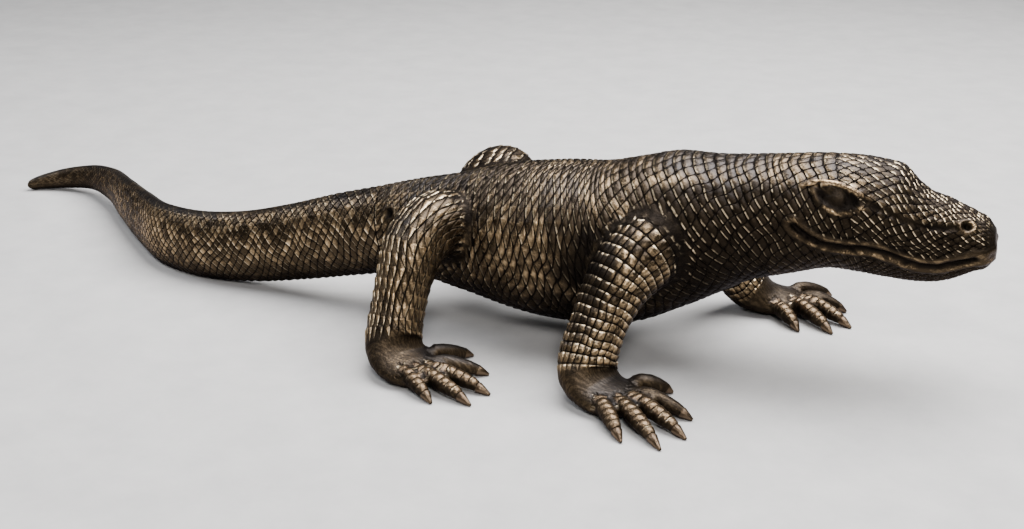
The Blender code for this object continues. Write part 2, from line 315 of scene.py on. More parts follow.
def through(stations, rows):
    """Smooth curve through the stations at even distances, with the distances."""
    stations = np.array(stations, float)
    steps = np.linalg.norm(np.diff(stations[:, :3], axis=0), axis=1)
    at = np.concatenate([[0], np.cumsum(steps)])
    slopes = np.gradient(stations, at, axis=0)
    where = np.linspace(0, at[-1], rows)
    left = np.clip(np.searchsorted(at, where, side="right") - 1, 0, len(at) - 2)
    span = (at[left + 1] - at[left])[:, None]
    s = (where - at[left])[:, None] / span
    start = (1 + 2 * s) * (1 - s) ** 2 * stations[left]
    start_slope = s * (1 - s) ** 2 * span * slopes[left]
    end = s ** 2 * (3 - 2 * s) * stations[left + 1]
    end_slope = s ** 2 * (s - 1) * span * slopes[left + 1]
    return where, start + start_slope + end + end_slope


def read(at, where, columns):
    """Read every column of a table at the given distances."""
    return np.stack([np.interp(at, where, column) for column in columns.T], axis=-1)


body_at, body_rows = through(BODY, TABLE_ROWS)
body_along = unit(np.gradient(body_rows[:, :3], axis=0))
body_side = unit(np.cross((0.0, 0.0, 1.0), body_along))
body_table = np.hstack([body_rows, body_side, np.cross(body_along, body_side)])


def body_point(at, angle):
    """Point of the smooth body at a distance from the tail's tip and an angle from the crown."""
    row = read(at, body_at, body_table)
    rise = np.cos(angle)
    above = row[..., 4] * np.abs(rise) ** (2 / row[..., 6])
    tall = np.where(rise > 0, above, row[..., 5] * rise)
    across = row[..., 3] * np.sin(angle)
    return row[..., :3] + across[..., None] * row[..., 7:10] + tall[..., None] * row[..., 10:13]


print("the body's axis is", round(body_at[-1]), "shares long")

# %% [markdown]
# ## Limbs without a twist
# Where a limb bends, its sections must not turn about its axis, or the scales would spiral. So
# the sideways direction is known at the foot, and is carried back from there along the axis.

# %% Surfaces of the limbs
LIMB_ROWS = TABLE_ROWS // 4


def carried_frames(axis, side):
    """Sideways and upward directions across an axis, carried back from its end."""
    along = unit(np.gradient(axis, axis=0))
    sideways = np.zeros_like(along)
    for row in range(len(axis) - 1, -1, -1):
        side = unit(side - (side @ along[row]) * along[row])
        sideways[row] = side
    return sideways, np.cross(along, sideways)


def limb_surface(stations, side):
    """Distances and a point function for a limb with elliptical sections."""
    where, rows = through(stations, LIMB_ROWS)
    sideways, upward = carried_frames(rows[:, :3], np.array(side, float))
    table = np.hstack([rows, sideways, upward])

    def point(at, angle):
        row = read(at, where, table)
        across = row[..., 3] * np.sin(angle)
        tall = row[..., 4] * np.cos(angle)
        return row[..., :3] + across[..., None] * row[..., 5:8] + tall[..., None] * row[..., 8:11]

    return where[-1], point


print("a limb's table has", LIMB_ROWS, "rows")

# %% [markdown]
# ## The scale lattice
# Every scale is one cell of a lattice that wraps the form: V counts rings along it, U counts
# columns around it. Two line counts, p and q, are made from V and U, and a groove runs wherever
# one of them is a whole number. Straight rings and columns give the squares of the forelegs,
# one slanted set gives the leaves of the flank, and two slanted sets give the diamonds of the
# tail. The mesh follows the lattice, so each groove lies on a row of its vertices.

# %% Kinds of scale
# What p and q of each kind of scale take of V and U, and what is added
KINDS = {
    "diamonds": ((1, -1, 0), (1, 1, 0)),
    "leaves": ((1, 0, 0), (1, 1, 0)),
    "collar": ((1, 0, 0), (0.45, 1, 0)),
    "plates": ((1, -1, 0), (1, 1, 0)),
    "squares": ((1, 0, 0), (0, 1, 0)),
    "bands": ((0, 1, 0), (1, 1, 0)),
    "scutes": ((1, 0, 0), (0, 0, 0.5)),
    "smooth": ((0, 0, 0.5), (0, 0, 0.5)),
    "claw": ((0, 0, 0.5), (0, 0, 0.5)),
}
# Height of skin without scales, and how deep the cross grooves of some kinds are
PLAIN_HEIGHT = 0.6
CLAW_HEIGHT = 1.0
CROSS_DEPTH = {"bands": 0.85, "collar": 0.95}
# Kinds that are cut less deep
SHALLOW = {"diamonds": 0.7}
# How far hands and cloths have polished some kinds
POLISH = {"scutes": 0.5, "claw": 0.35}
# Height of the skin beside a toe's plates, and the cosine and fade of where they end
SCUTE_SIDE_HEIGHT = 0.35
SCUTE_EDGE = 0.62
SCUTE_FADE = 0.25
print("kinds of scale:", ", ".join(KINDS))

# %% [markdown]
# ## Heights on the lattice
# A real scale is not a flat tile: it rises steeply behind the groove and slopes down toward the
# next one, which it overlaps. The pillow curve has that shape. A slow random drift, with a fixed
# seed, is added to the places later on, because the carver's hand didn't keep to a grid.

# %% Rings, pillows and drift
FINE_STEPS = (0.0, 0.1, 0.5, 0.9)
HEAD_STEPS = (0.0, 0.1, 0.35, 0.5, 0.65, 0.9)
PLAIN_STEPS = (0.0, 0.15, 0.85)
PILLOW_POWER = 8
DRIFT_SIZE = 2.0
DRIFT_ROWS = 400


def counts(cells, steps):
    """Lattice counts of the mesh lines over some cells."""
    return np.concatenate([cell + np.array(steps) for cell in range(cells)] + [[cells]])


def ring_places(start, end, pitch_start, pitch_end, steps):
    """Distances and lattice counts of a zone's rings, whose pitch changes evenly."""
    fine = np.linspace(start, end, 400)
    pitch = np.interp(fine, (start, end), (pitch_start, pitch_end))
    cells = np.concatenate([[0], np.cumsum(np.diff(fine) * 2 / (pitch[1:] + pitch[:-1]))])
    whole = max(1, round(cells[-1]))
    lattice = counts(whole, steps)
    return np.interp(lattice, cells * whole / cells[-1], fine), lattice


def pillow(count):
    """Height over a cell: nothing at whole counts, highest just past them, then falling."""
    away = 2 * np.abs(count - np.round(count))
    return (1 - (1 - away) ** PILLOW_POWER) * (1.25 - 0.5 * (count - np.floor(count)))


def drift(v, u, columns, seed):
    """Smooth random field over a lattice, between minus one and one, closed around it."""
    around = max(3, round(columns / DRIFT_SIZE))
    table = np.random.default_rng(seed).uniform(-1, 1, (DRIFT_ROWS, around))
    along, across = v / DRIFT_SIZE, u * around / columns
    i, j = np.floor(along).astype(int), np.floor(across).astype(int)
    s, t = along - i, across - j
    s, t = s * s * (3 - 2 * s), t * t * (3 - 2 * t)
    row, after, right = i % DRIFT_ROWS, (i + 1) % DRIFT_ROWS, (j + 1) % around
    low = table[row, j % around] * (1 - t) + table[row, right] * t
    high = table[after, j % around] * (1 - t) + table[after, right] * t
    return low * (1 - s) + high * s


def line_counts(kind, v, u):
    """The two groove counts of a kind of scale."""
    (pv, pu, pc), (qv, qu, qc) = KINDS[kind]
    return pv * v + pu * u + pc, qv * v + qu * u + qc


def relief_of(kind, v, u):
    """Height of the lattice points of one ring."""
    if kind in ("smooth", "claw"):
        return np.full(len(u), PLAIN_HEIGHT if kind == "smooth" else CLAW_HEIGHT)
    p, q = line_counts(kind, v, u)
    deep = CROSS_DEPTH.get(kind, 1.0)
    carved = pillow(p) * (1 - deep + deep * pillow(q))
    return 1 - (1 - carved) * SHALLOW.get(kind, 1.0)


print("a scale is highest", round(float(pillow(np.linspace(0, 1, 101)).max()), 2), "above its groove")

# %% [markdown]
# ## A skin of rings
# A form is kept as rings of points from one end to the other. Every point carries four values
# that later steps read: how high it lies in its scale, how bare of scales it is, how deep the
# cross grooves are there, and how well it is polished.

# %% Skin
POINT_VALUES = ("height", "smooth", "cross", "polish")


class Skin:
    """Lattice rings of one form, gathered into arrays for a mesh."""

    def __init__(self, u_corners):
        self.u = np.array(u_corners, float)
        self.points = []
        self.v = []
        self.kinds = []
        self.values = {key: [] for key in POINT_VALUES}

    def add(self, kind, points, lattice, plain=None):
        """Add a zone's rings. Its first ring is shared with the zone before."""
        begin = 1 if self.points else 0
        base = self.v[-1] if self.points else 0
        self.kinds += [(kind, base)] * (len(lattice) - 1)
        for ring in range(begin, len(lattice)):
            self.points.append(points[ring])
            self.v.append(base + lattice[ring])
            relief = relief_of(kind, lattice[ring], self.u[:-1])
            even = np.ones(len(relief))
            bare = even * (kind in ("smooth", "claw"))
            polish = even * POLISH.get(kind, 0)
            if plain is not None:
                bare = plain[ring]
                relief = relief + (PLAIN_HEIGHT - relief) * bare
            if kind == "scutes":
                turn = 2 * math.pi * self.u[:-1] / self.u[-1]
                bare = np.clip((SCUTE_EDGE - np.cos(turn)) / SCUTE_FADE, 0, 1)
                relief = relief + (SCUTE_SIDE_HEIGHT - relief) * bare
                polish = polish * (1 - bare)
            row = (relief, bare, even * CROSS_DEPTH.get(kind, 1.0), polish)
            for key, value in zip(POINT_VALUES, row):
                self.values[key].append(value)

    def arrays(self):
        """Points, their values, quads and the groove counts at every quad's corners."""
        rings, columns = len(self.points), len(self.u) - 1
        ring, column = np.meshgrid(np.arange(rings - 1), np.arange(columns), indexing="ij")
        after = (column + 1) % columns
        quads = np.stack([ring * columns + column, ring * columns + after,
                          (ring + 1) * columns + after, (ring + 1) * columns + column], axis=-1)
        v = np.array(self.v)
        uv = np.zeros((rings - 1, columns, 4, 2))
        for row, (kind, base) in enumerate(self.kinds):
            low, high = v[row] - base, v[row + 1] - base
            corners_v = np.array([low, low, high, high])[None, :]
            corners_u = np.stack([self.u[:-1], self.u[1:], self.u[1:], self.u[:-1]], axis=-1)
            p, q = line_counts(kind, corners_v, corners_u)
            uv[row, :, :, 0] = p
            uv[row, :, :, 1] = q
        values = {key: np.concatenate(rows) for key, rows in self.values.items()}
        return np.concatenate(self.points), values, quads.reshape(-1, 4), uv.reshape(-1, 4, 2)


print("every point carries", ", ".join(POINT_VALUES))

# %% [markdown]
# ## The body's skin
# The tail has eighteen columns of diamonds. The flank has thirty-six of overlapping leaves, the
# neck as many scales in rings, and the head as many small plates. Tail and flank are separate
# lattices, sewn together at the hips with one row of triangles. On the neck the rings lean,
# their lower ends forward, as the carver cut them, and everywhere they waver a little.

# %% Sizes of the body's lattice
# Places along the body where one kind of scale gives way to the next
HIP_X = 14
NECK_X = 236
HEAD_X = 404
# Scales round half the girth, and the rings' pitch at a zone's start and end
TAIL_CELLS = 9
FLANK_CELLS = 18
TAIL_PITCH = (6.2, 7.6)
FLANK_PITCH = (7.2, 7.0)
NECK_PITCH = (6.6, 6.3)
HEAD_PITCH = (8.4, 6.8)
# How far rings lean, as a slope, and where the lean grows and fades
FLANK_LEAN = 0.25
NECK_LEAN = 0.48
NECK_SPAN = (140, 250)
LEAN_SPAN = (385, 500)
# Wear and rounding of the tail
TAIL_PLAIN_X = -365
TAIL_PLAIN_FADE = 70
TAIL_TIP_PLAIN = 0.85
KEEL_SHARE = 0.045
TIP_ROUNDING = 5
# How far the carver's hand wavered, along the body in shares and around it in cells
WAVER = 2.1
SIDE_WAVER = 0.34
WAVER_FADE = 12


def distance_at(x):
    """Distance along the body's axis where it passes x, ahead of the tail's curl."""
    ahead = body_rows[:, 0] > -400
    return np.interp(x, body_rows[ahead, 0], body_at[ahead])


def even_angles(at, shares):
    """Angles that divide each ring's half girth in the given shares."""
    fine = np.linspace(0, math.pi, 121)
    angles = np.empty((len(at), len(shares)))
    for ring, place in enumerate(at):
        skin = body_point(np.full(len(fine), place), fine)
        girth = np.concatenate([[0], np.cumsum(np.linalg.norm(np.diff(skin, axis=0), axis=1))])
        angles[ring] = np.interp(shares * girth[-1], girth, fine)
    return angles


print("the hips lie", round(float(distance_at(HIP_X))), "shares from the tail's tip")

# %% [markdown]
# ## Zones of the body
# Each zone runs from ring to ring with its own pitch. Near a zone's ends the waver fades out, so
# that neighbouring zones meet on the same ring.

# %% Tail, flank, neck and head
def body_zone(start, end, pitches, steps, cells, column_steps):
    """Points and lattice of one zone of the body, both sides mirrored."""
    at, lattice = ring_places(start, end, *pitches, steps)
    half = counts(cells, column_steps)
    turn = np.concatenate([half, 2 * cells - half[-2:0:-1]])
    v, u = np.meshgrid(lattice, turn, indexing="ij")
    inner = np.clip((at - start) / WAVER_FADE, 0, 1) * np.clip((end - at) / WAVER_FADE, 0, 1)
    angles = even_angles(at, half / cells)
    angles = np.hstack([angles, -angles[:, -2:0:-1]])
    sideways = SIDE_WAVER * math.pi / cells * drift(v, u, 2 * cells, cells + 1)
    angles = angles + sideways * inner[:, None] * np.abs(np.sin(angles))
    place = np.repeat(at[:, None], angles.shape[1], axis=1)
    x = np.interp(place, body_at, body_rows[:, 0])
    height = read(place, body_at, body_table)[..., 4]
    neck = np.clip((x - NECK_SPAN[0]) / (NECK_SPAN[1] - NECK_SPAN[0]), 0, 1)
    lean = FLANK_LEAN + (NECK_LEAN - FLANK_LEAN) * neck
    lean = lean * np.clip((LEAN_SPAN[1] - x) / (LEAN_SPAN[1] - LEAN_SPAN[0]), 0, 1)
    lean = lean * np.clip((x - HIP_X) / 50, 0, 1)
    open_end = np.clip((body_at[-1] - place) / 30, 0, 1)
    shift = WAVER * drift(v, u, 2 * cells, cells) * inner[:, None]
    moved = np.clip(place - lean * height * np.cos(angles) * open_end + shift, 0, body_at[-1])
    axis = read(moved, body_at, body_rows[:, :3])
    blunt = np.sqrt(1 - np.clip(1 - moved / TIP_ROUNDING, 0, 0.98) ** 2)
    return axis + (body_point(moved, angles) - axis) * blunt[..., None], lattice


def tail_plain(points):
    """Where the tail has lost its scales: toward the tip and along the keel on top."""
    x, z = points[..., 0], points[..., 2]
    tip = TAIL_TIP_PLAIN * np.clip((TAIL_PLAIN_X - x) / TAIL_PLAIN_FADE, 0, 1)
    top = z.max(axis=1, keepdims=True)
    deep = (top - z) / np.maximum(top - z.min(axis=1, keepdims=True), 1)
    keel = np.clip(1.3 - deep / KEEL_SHARE, 0, 1) * np.clip((-40 - x) / 60, 0, 1)
    return np.maximum(tip, 0.9 * keel)


def mirrored_counts(cells, steps):
    """U at each column's start and, last, at the closing corner, down one side and up the other."""
    half = counts(cells, steps)
    return np.concatenate([half, half[-2::-1]])


hip = distance_at(HIP_X)
head = distance_at(HEAD_X)
tail_skin = Skin(mirrored_counts(TAIL_CELLS, FINE_STEPS))
tail_points, tail_lattice = body_zone(0, hip, TAIL_PITCH, FINE_STEPS, TAIL_CELLS, FINE_STEPS)
tail_skin.add("diamonds", tail_points, tail_lattice, tail_plain(tail_points))
front_skin = Skin(mirrored_counts(FLANK_CELLS, FINE_STEPS))
flank_start = hip + FLANK_PITCH[0] * FINE_STEPS[1]
neck = distance_at(NECK_X)
flank_points, flank_lattice = body_zone(flank_start, neck, FLANK_PITCH, FINE_STEPS, FLANK_CELLS, FINE_STEPS)
front_skin.add("leaves", flank_points, flank_lattice)
neck_points, neck_lattice = body_zone(neck, head, NECK_PITCH, FINE_STEPS, FLANK_CELLS, FINE_STEPS)
neck_points[0] = flank_points[-1]
front_skin.add("collar", neck_points, neck_lattice)
head_points, head_lattice = body_zone(head, body_at[-1], HEAD_PITCH, HEAD_STEPS, FLANK_CELLS, FINE_STEPS)
head_points[0] = neck_points[-1]
front_skin.add("plates", head_points, head_lattice)
print("tail rings", len(tail_skin.points), "flank and head rings", len(front_skin.points))

# %% [markdown]
# ## Legs and toes
# The forelegs carry rows of squares down to the wrist. On the hind legs the columns run down the
# leg and the grooves between them slant, so the scales sweep round the knee. The backs of the
# feet are plain. Three toes of each foot, counted from outside, have raised plates on top, and
# every toe ends in a smooth claw.

# %% Leg and toe lattices
LEG_CELLS = 24
WRIST_STATION = 7
TOE_COLUMNS = 16
LIMB_WAVER = 1.2
LIMB_WAVER_FADE = 10
LIMB_SEEDS = (31, 32)
WRIST_FADE = 9
# Where on a toe, as a share of its reach, the plates begin and the claw begins
KNUCKLE_WAY = -0.1
CLAW_WAY = 0.79
PLATED_TOES = 3
# Ring pitch at the start and end of each zone
PITCHES = {
    "foreleg": (7.4, 6.6), "hind leg": (6.4, 11), "foot": (8, 8),
    "toe root": (12, 12), "toe": (6.9, 6.3), "claw": (5.5, 5.5),
}


def station_distances(stations):
    """Distance along the axis at each station."""
    places = np.array(stations, float)[:, :3]
    return np.concatenate([[0], np.cumsum(np.linalg.norm(np.diff(places, axis=0), axis=1))])


def limb_skin(stations, side, hand, columns, steps, zones):
    """Skin of a limb from its zones: kind, start, end, pitch and ring steps of each."""
    _, point = limb_surface(stations, side)
    u = counts(columns, steps)
    angles = hand * 2 * math.pi * u[:-1] / columns
    skin = Skin(u)
    for kind, start, end, pitches, ring_steps in zones:
        at, lattice = ring_places(start, end, *pitches, ring_steps)
        places, around = np.meshgrid(at, angles, indexing="ij")
        plain = None
        if kind in ("squares", "bands"):
            plain = np.repeat(np.clip(1 - (end - at) / WRIST_FADE, 0, 1)[:, None], len(angles), axis=1)
            v, turn = np.meshgrid(lattice, u[:-1], indexing="ij")
            inner = np.clip((at - start) / LIMB_WAVER_FADE, 0, 1)
            inner = inner * np.clip((end - at) / LIMB_WAVER_FADE, 0, 1)
            places = places + LIMB_WAVER * drift(v, turn, columns, LIMB_SEEDS[0]) * inner[:, None]
            around = around + SIDE_WAVER * 2 * math.pi / columns * drift(v, turn, columns, LIMB_SEEDS[1])
        skin.add(kind, point(places, around), lattice, plain)
    return skin


def leg_skin(name):
    """Skin of one leg, with the scales of a foreleg or of a hind leg."""
    leg = LEGS[name]
    at = station_distances(leg["stations"])
    wrist = at[WRIST_STATION]
    if "fore" in name:
        upper = [("squares", 0, wrist, PITCHES["foreleg"], PLAIN_STEPS)]
    else:
        upper = [("bands", 0, wrist, PITCHES["hind leg"], PLAIN_STEPS)]
    zones = upper + [("smooth", wrist, at[-1], PITCHES["foot"], PLAIN_STEPS)]
    hand = 1 if "left" in name else -1
    return limb_skin(leg["stations"], (*leg["side"], 0.0), hand, LEG_CELLS, PLAIN_STEPS, zones)


def toe_skin(root, tip, plated):
    """Skin of one toe: hidden root, plates on the longer toes, claw."""
    root = np.array([*root, 0.0])
    reach = np.array([*tip, 0.0]) - root
    stations = [(*(root + way * reach + (0, 0, height)), radius, radius) for way, height, radius in TOE]
    at = station_distances(stations)
    ways = [row[0] for row in TOE]
    knuckle, claw = np.interp((KNUCKLE_WAY, CLAW_WAY), ways, at)
    zones = [
        ("smooth", 0, knuckle, PITCHES["toe root"], (0.0, 0.5)),
        ("scutes" if plated else "smooth", knuckle, claw, PITCHES["toe"], PLAIN_STEPS),
        ("claw", claw, at[-1], PITCHES["claw"], PLAIN_STEPS),
    ]
    side = np.cross((0.0, 0.0, 1.0), reach)
    return limb_skin(stations, side, 1, TOE_COLUMNS, (0.0,), zones)


print("each leg has", LEG_CELLS, "columns, each toe", TOE_COLUMNS)

# %% [markdown]
# ## Closed shells
# Rings of quads become a shell when both ends are closed with a fan of triangles. Each quad is
# cut along the diagonal that lies deeper, so that a slanting groove runs along an edge of the
# mesh and stays sharp.

# %% Shells
# What the middle point of an end carries
END_VALUES = {"height": 0.0, "smooth": 1.0, "cross": 1.0, "polish": 0.0}


def cut_quads(quads, uv, points, height):
    """Cut each quad in two so that a groove that crosses it lies on the cut."""
    deep = height[quads]
    corner = points[quads]
    first = np.linalg.norm(corner[:, 0] - corner[:, 2], axis=1)
    second = np.linalg.norm(corner[:, 1] - corner[:, 3], axis=1)
    choice = deep[:, 0] + deep[:, 2] - deep[:, 1] - deep[:, 3] + 0.02 * (first - second)
    order = np.where(choice[:, None] <= 0, [[0, 1, 2, 0, 2, 3]], [[0, 1, 3, 1, 2, 3]])
    row = np.arange(len(quads))[:, None]
    return quads[row, order].reshape(-1, 3), uv[row, order].reshape(-1, 3, 2)


def fan(ring, centre, forward):
    """Triangles from a ring to its centre."""
    after = np.roll(ring, -1)
    middle = np.full(len(ring), centre)
    ordered = (middle, ring, after) if forward else (middle, after, ring)
    return np.stack(ordered, axis=-1)


def sew(low, high):
    """Triangles between a ring and a second one with twice its points."""
    after = np.roll(low, -1)
    even, odd = high[0::2], high[1::2]
    following = np.roll(even, -1)
    rows = [(low, odd, even), (low, after, odd), (after, following, odd)]
    return np.concatenate([np.stack(row, axis=-1) for row in rows])


def shell(skins):
    """Points, their values, triangles and their groove counts for skins end to end."""
    points, triangles, uv = [], [], []
    values = {key: [] for key in POINT_VALUES}
    base = 0
    last_ring = None
    for skin in skins:
        at, carried, quads, corners = skin.arrays()
        cut, cut_uv = cut_quads(quads, corners, at, carried["height"])
        triangles.append(cut + base)
        uv.append(cut_uv)
        points.append(at)
        for key, rows in carried.items():
            values[key].append(rows)
        ring = base + np.arange(len(skin.points[0]))
        if last_ring is not None:
            sewn = sew(last_ring, ring)
            triangles.append(sewn)
            uv.append(np.zeros((len(sewn), 3, 2)))
        last_ring = base + len(at) - len(ring) + np.arange(len(ring))
        base += len(at)
    first_ring = np.arange(len(skins[0].points[0]))
    for ring, forward in ((first_ring, False), (last_ring, True)):
        outline = np.concatenate(points)[ring]
        points.append(outline.mean(axis=0)[None])
        for key, value in END_VALUES.items():
            values[key].append([value])
        closing = fan(ring, base, forward)
        triangles.append(closing)
        uv.append(np.full((len(closing), 3, 2), 0.5))
        base += 1
    joined = {key: np.concatenate(rows) for key, rows in values.items()}
    return np.concatenate(points), joined, np.concatenate(triangles), np.concatenate(uv)


print("a shell's ends carry", END_VALUES)

# %% [markdown]
# ## One casting
# Body, legs and toes are closed shells that reach into each other. A Boolean union takes away
# what lies inside and leaves one skin, as pressing wax limbs onto a wax body does. It keeps the
# points' values, so the scales survive it.

# %% Union of body, legs and toes
def make_solid(name, skins, part):
    """Object of one closed shell, its lattice kept as attributes."""
    points, values, triangles, uv = shell(skins)
    a, b, c = (points[triangles[:, corner]] for corner in range(3))
    if (a * np.cross(b, c)).sum() < 0:
        triangles, uv = triangles[:, ::-1], uv[:, ::-1]
    data = bpy.data.meshes.new(name)
    data.from_pydata(points * SHARE, [], triangles)
    for key, rows in values.items():
        data.attributes.new(key, "FLOAT", "POINT").data.foreach_set("value", rows.astype(np.float32))
    parts = np.full(len(triangles), part, np.int32)
    data.attributes.new("part", "INT", "FACE").data.foreach_set("value", parts)
    data.uv_layers.new(name="scales").data.foreach_set("uv", uv.astype(np.float32).ravel())
    item = bpy.data.objects.new(name, data)
    bpy.context.scene.collection.objects.link(item)
    return item


def join(target, other):
    """Union of two closed shells, kept in the first."""
    step = target.modifiers.new("union", "BOOLEAN")
    step.operation = "UNION"
    step.solver = "MANIFOLD"
    step.object = other
    graph = bpy.context.evaluated_depsgraph_get()
    united = bpy.data.meshes.new_from_object(target.evaluated_get(graph))
    target.modifiers.remove(step)
    target.data = united
    bpy.data.objects.remove(other)


# Parts are numbered: 0 the body, 1 to 4 the legs, ten times a leg's number and more its toes
FIRST_TOE_PART = 10
dragon = make_solid("komodo_dragon_bronze", [tail_skin, front_skin], 0)
for number, (name, leg) in enumerate(LEGS.items(), 1):
    limb = make_solid(name, [leg_skin(name)], number)
    for toe, (root, tip) in enumerate(leg["toes"]):
        join(limb, make_solid("toe", [toe_skin(root, tip, toe < PLATED_TOES)], FIRST_TOE_PART * number + toe))
    join(dragon, limb)
print("one skin with", len(dragon.data.polygons), "faces")

# %% [markdown]
# ## Reading the joined skin
# After the union the mesh is read into arrays, which are quick to work on. A joint is wherever
# faces of two parts share an edge, and every point learns how far it lies from the nearest one.

# %% Arrays of the joined skin
LIMB_FILLET = 7
TOE_FILLET = 4.5
FILLET_WIDENING = 1.35


def point_values(mesh, key):
    """A point attribute as an array."""
    values = np.empty(len(mesh.vertices), np.float32)
    mesh.attributes[key].data.foreach_get("value", values)
    return values.astype(float)


def edge_pairs(mesh):
    """The two vertices of every edge."""
    pairs = np.empty(len(mesh.edges) * 2, np.int32)
    mesh.edges.foreach_get("vertices", pairs)
    return pairs.reshape(-1, 2)


def joint_weights(mesh, points):
    """How much each point is softened for a joint nearby, and its distance from a limb's joint."""
    parts = np.empty(len(mesh.polygons), np.int32)
    mesh.attributes["part"].data.foreach_get("value", parts)
    corners = np.empty(len(mesh.polygons), np.int32)
    mesh.polygons.foreach_get("loop_total", corners)
    edges = np.empty(len(mesh.loops), np.int32)
    mesh.loops.foreach_get("edge_index", edges)
    owner = np.repeat(parts, corners)
    low = np.full(len(mesh.edges), 1000)
    high = np.full(len(mesh.edges), -1)
    np.minimum.at(low, edges, owner)
    np.maximum.at(high, edges, owner)
    pairs = edge_pairs(mesh)
    weights = np.zeros(len(points))
    for reach in (LIMB_FILLET, TOE_FILLET):
        of_limbs = reach == LIMB_FILLET
        seam = np.unique(pairs[(low != high) & ((high < FIRST_TOE_PART) == of_limbs)])
        tree = KDTree(len(seam))
        for place, vertex in enumerate(seam):
            tree.insert(points[vertex], place)
        tree.balance()
        near = np.array([tree.find(point)[2] for point in points])
        weights = np.maximum(weights, np.clip(FILLET_WIDENING - near / reach, 0, 1))
        if of_limbs:
            limb_distance = near
    return weights, limb_distance


def surface_normals(points, mesh):
    """Normals of the points, from the mesh's triangles."""
    mesh.calc_loop_triangles()
    triangles = np.empty(len(mesh.loop_triangles) * 3, np.int32)
    mesh.loop_triangles.foreach_get("vertices", triangles)
    triangles = triangles.reshape(-1, 3)
    a, b, c = (points[triangles[:, corner]] for corner in range(3))
    face = np.cross(b - a, c - a)
    normals = np.zeros_like(points)
    for corner in range(3):
        np.add.at(normals, triangles[:, corner], face)
    return unit(normals + 1e-12)


skin = dragon.data
coordinates = np.empty(len(skin.vertices) * 3, np.float32)
skin.vertices.foreach_get("co", coordinates)
points = coordinates.reshape(-1, 3).astype(float) / SHARE
joints, limb_distance = joint_weights(skin, points)
print("near a joint:", int((joints > 0).sum()), "of", len(points), "points")

# %% [markdown]
# ## Soft joints
# A limb pressed onto a wax body meets it in a hard line. The modeller's thumb smooths that
# line away, and so does this step: near each joint every point moves toward its neighbours,
# and the scales there are rubbed flat.

# %% Soften the joints
FILLET_ROUNDS = 16
FILLET_STEP = 0.7
JOINT_FLATNESS = 0.85


def soften(values, pairs, weights, rounds):
    """Move values toward the mean of their neighbours, as far as their weights say."""
    count = np.bincount(pairs.ravel(), minlength=len(values)).astype(float)
    for _ in range(rounds):
        total = np.zeros_like(values)
        np.add.at(total, pairs[:, 0], values[pairs[:, 1]])
        np.add.at(total, pairs[:, 1], values[pairs[:, 0]])
        mean = total / count[:, None]
        values = values + (mean - values) * weights[:, None] * FILLET_STEP
    return values


points = soften(points, edge_pairs(skin), joints, FILLET_ROUNDS)
height = point_values(skin, "height")
flat = np.clip(FILLET_WIDENING - limb_distance / LIMB_FILLET, 0, 1)
height += (1 - height) * JOINT_FLATNESS * flat
smooth = point_values(skin, "smooth")
normals = surface_normals(points, skin)
print("rubbed flat at the limbs:", int((flat > 0).sum()), "points")

# %% [markdown]
# ## The face's lines
# The face is drawn with lines in space, laid on the right side and mirrored: the gap of the
# mouth, the edges of the lips, the brow, the lower lid, and the groove from the eye to the
# nostril. The eye, the nostril and a small pit under the lip are placed by their centres.

# %% Lines of the face
MOUTH = [
    (361, 40, 131), (363.7, 40.8, 128.5), (374.6, 39.4, 121.2), (386.7, 37.2, 116.9), (401.6, 36.6, 117.0),
    (416.3, 35.6, 117.4), (428.1, 33.1, 114.9), (441.3, 28.9, 109.4), (453.4, 25.6, 106.3),
    (465.1, 23.8, 106.6), (477.5, 23.6, 109.9), (490.0, 21.0, 115.0), (499.5, 15.5, 117.2),
    (504.0, 7.5, 117.8), (505.5, 0.0, 118.0),
]
UPPER_LIP = [
    (366.1, 40.4, 134.4), (377.8, 40.3, 129.3), (392.8, 39.0, 124.8), (410.8, 38.0, 125.4),
    (425.0, 35.9, 123.9), (438.5, 32.6, 118.6), (450.5, 29.6, 115.3), (464.4, 27.1, 116.2),
    (476.5, 25.3, 119.8), (491.0, 21.0, 122.8), (500.5, 14.5, 124.0), (505.0, 0.0, 124.5),
]
LOWER_LIP = [
    (362.4, 40.2, 121.3), (373.5, 37.7, 115.1), (387.0, 34.7, 111.3), (404.3, 33.6, 110.5),
    (421.1, 32.0, 110.1), (435.6, 27.3, 105.2), (447.6, 21.3, 99.3), (459.5, 18.0, 97.7),
    (472.0, 18.5, 100.1), (484.5, 19.5, 105.9), (497.5, 14.0, 109.8), (503.0, 0.0, 110.5),
]
BROW = [
    (362.0, 29.0, 157.5), (368.0, 29.6, 160.5), (376.0, 28.8, 162.8), (387.0, 28.4, 163.2),
    (398.3, 30.0, 160.8), (407.5, 31.8, 157.0),
]
LOWER_LID = [
    (371.5, 32.0, 157.0), (377.9, 35.3, 150.6), (384.7, 37.6, 144.8), (393.4, 37.9, 142.4),
    (403.8, 36.7, 144.6), (411.0, 34.6, 149.4),
]
TEAR_GROOVE = [
    (408.9, 33.0, 153.4), (417.7, 33.4, 150.1), (429.8, 32.7, 145.7), (442.1, 31.0, 140.7),
    (454.1, 28.0, 137.3), (465.6, 23.6, 136.0), (474.0, 20.0, 136.4),
]
EYE_CENTRE = (390.5, 33.6, 153.0)
EYE_BACK = (373.5, 32.0, 157.2)
EYE_FRONT = (409.5, 32.6, 153.0)
EYE_LENGTH = 18.0
EYE_HEIGHT = 8.6
SOCKET_DEPTH = 3.2
EYEBALL_RADIUS = 7.8
NOSTRIL_CENTRE = (482.5, 17.5, 137.0)
NOSTRIL_RADIUS = 4.6
CHIN_PIT = (487.0, 15.5, 104.0)
FACE_LINES = {
    "mouth": MOUTH, "upper_lip": UPPER_LIP, "lower_lip": LOWER_LIP,
    "brow": BROW, "lower_lid": LOWER_LID, "tear_groove": TEAR_GROOVE,
}
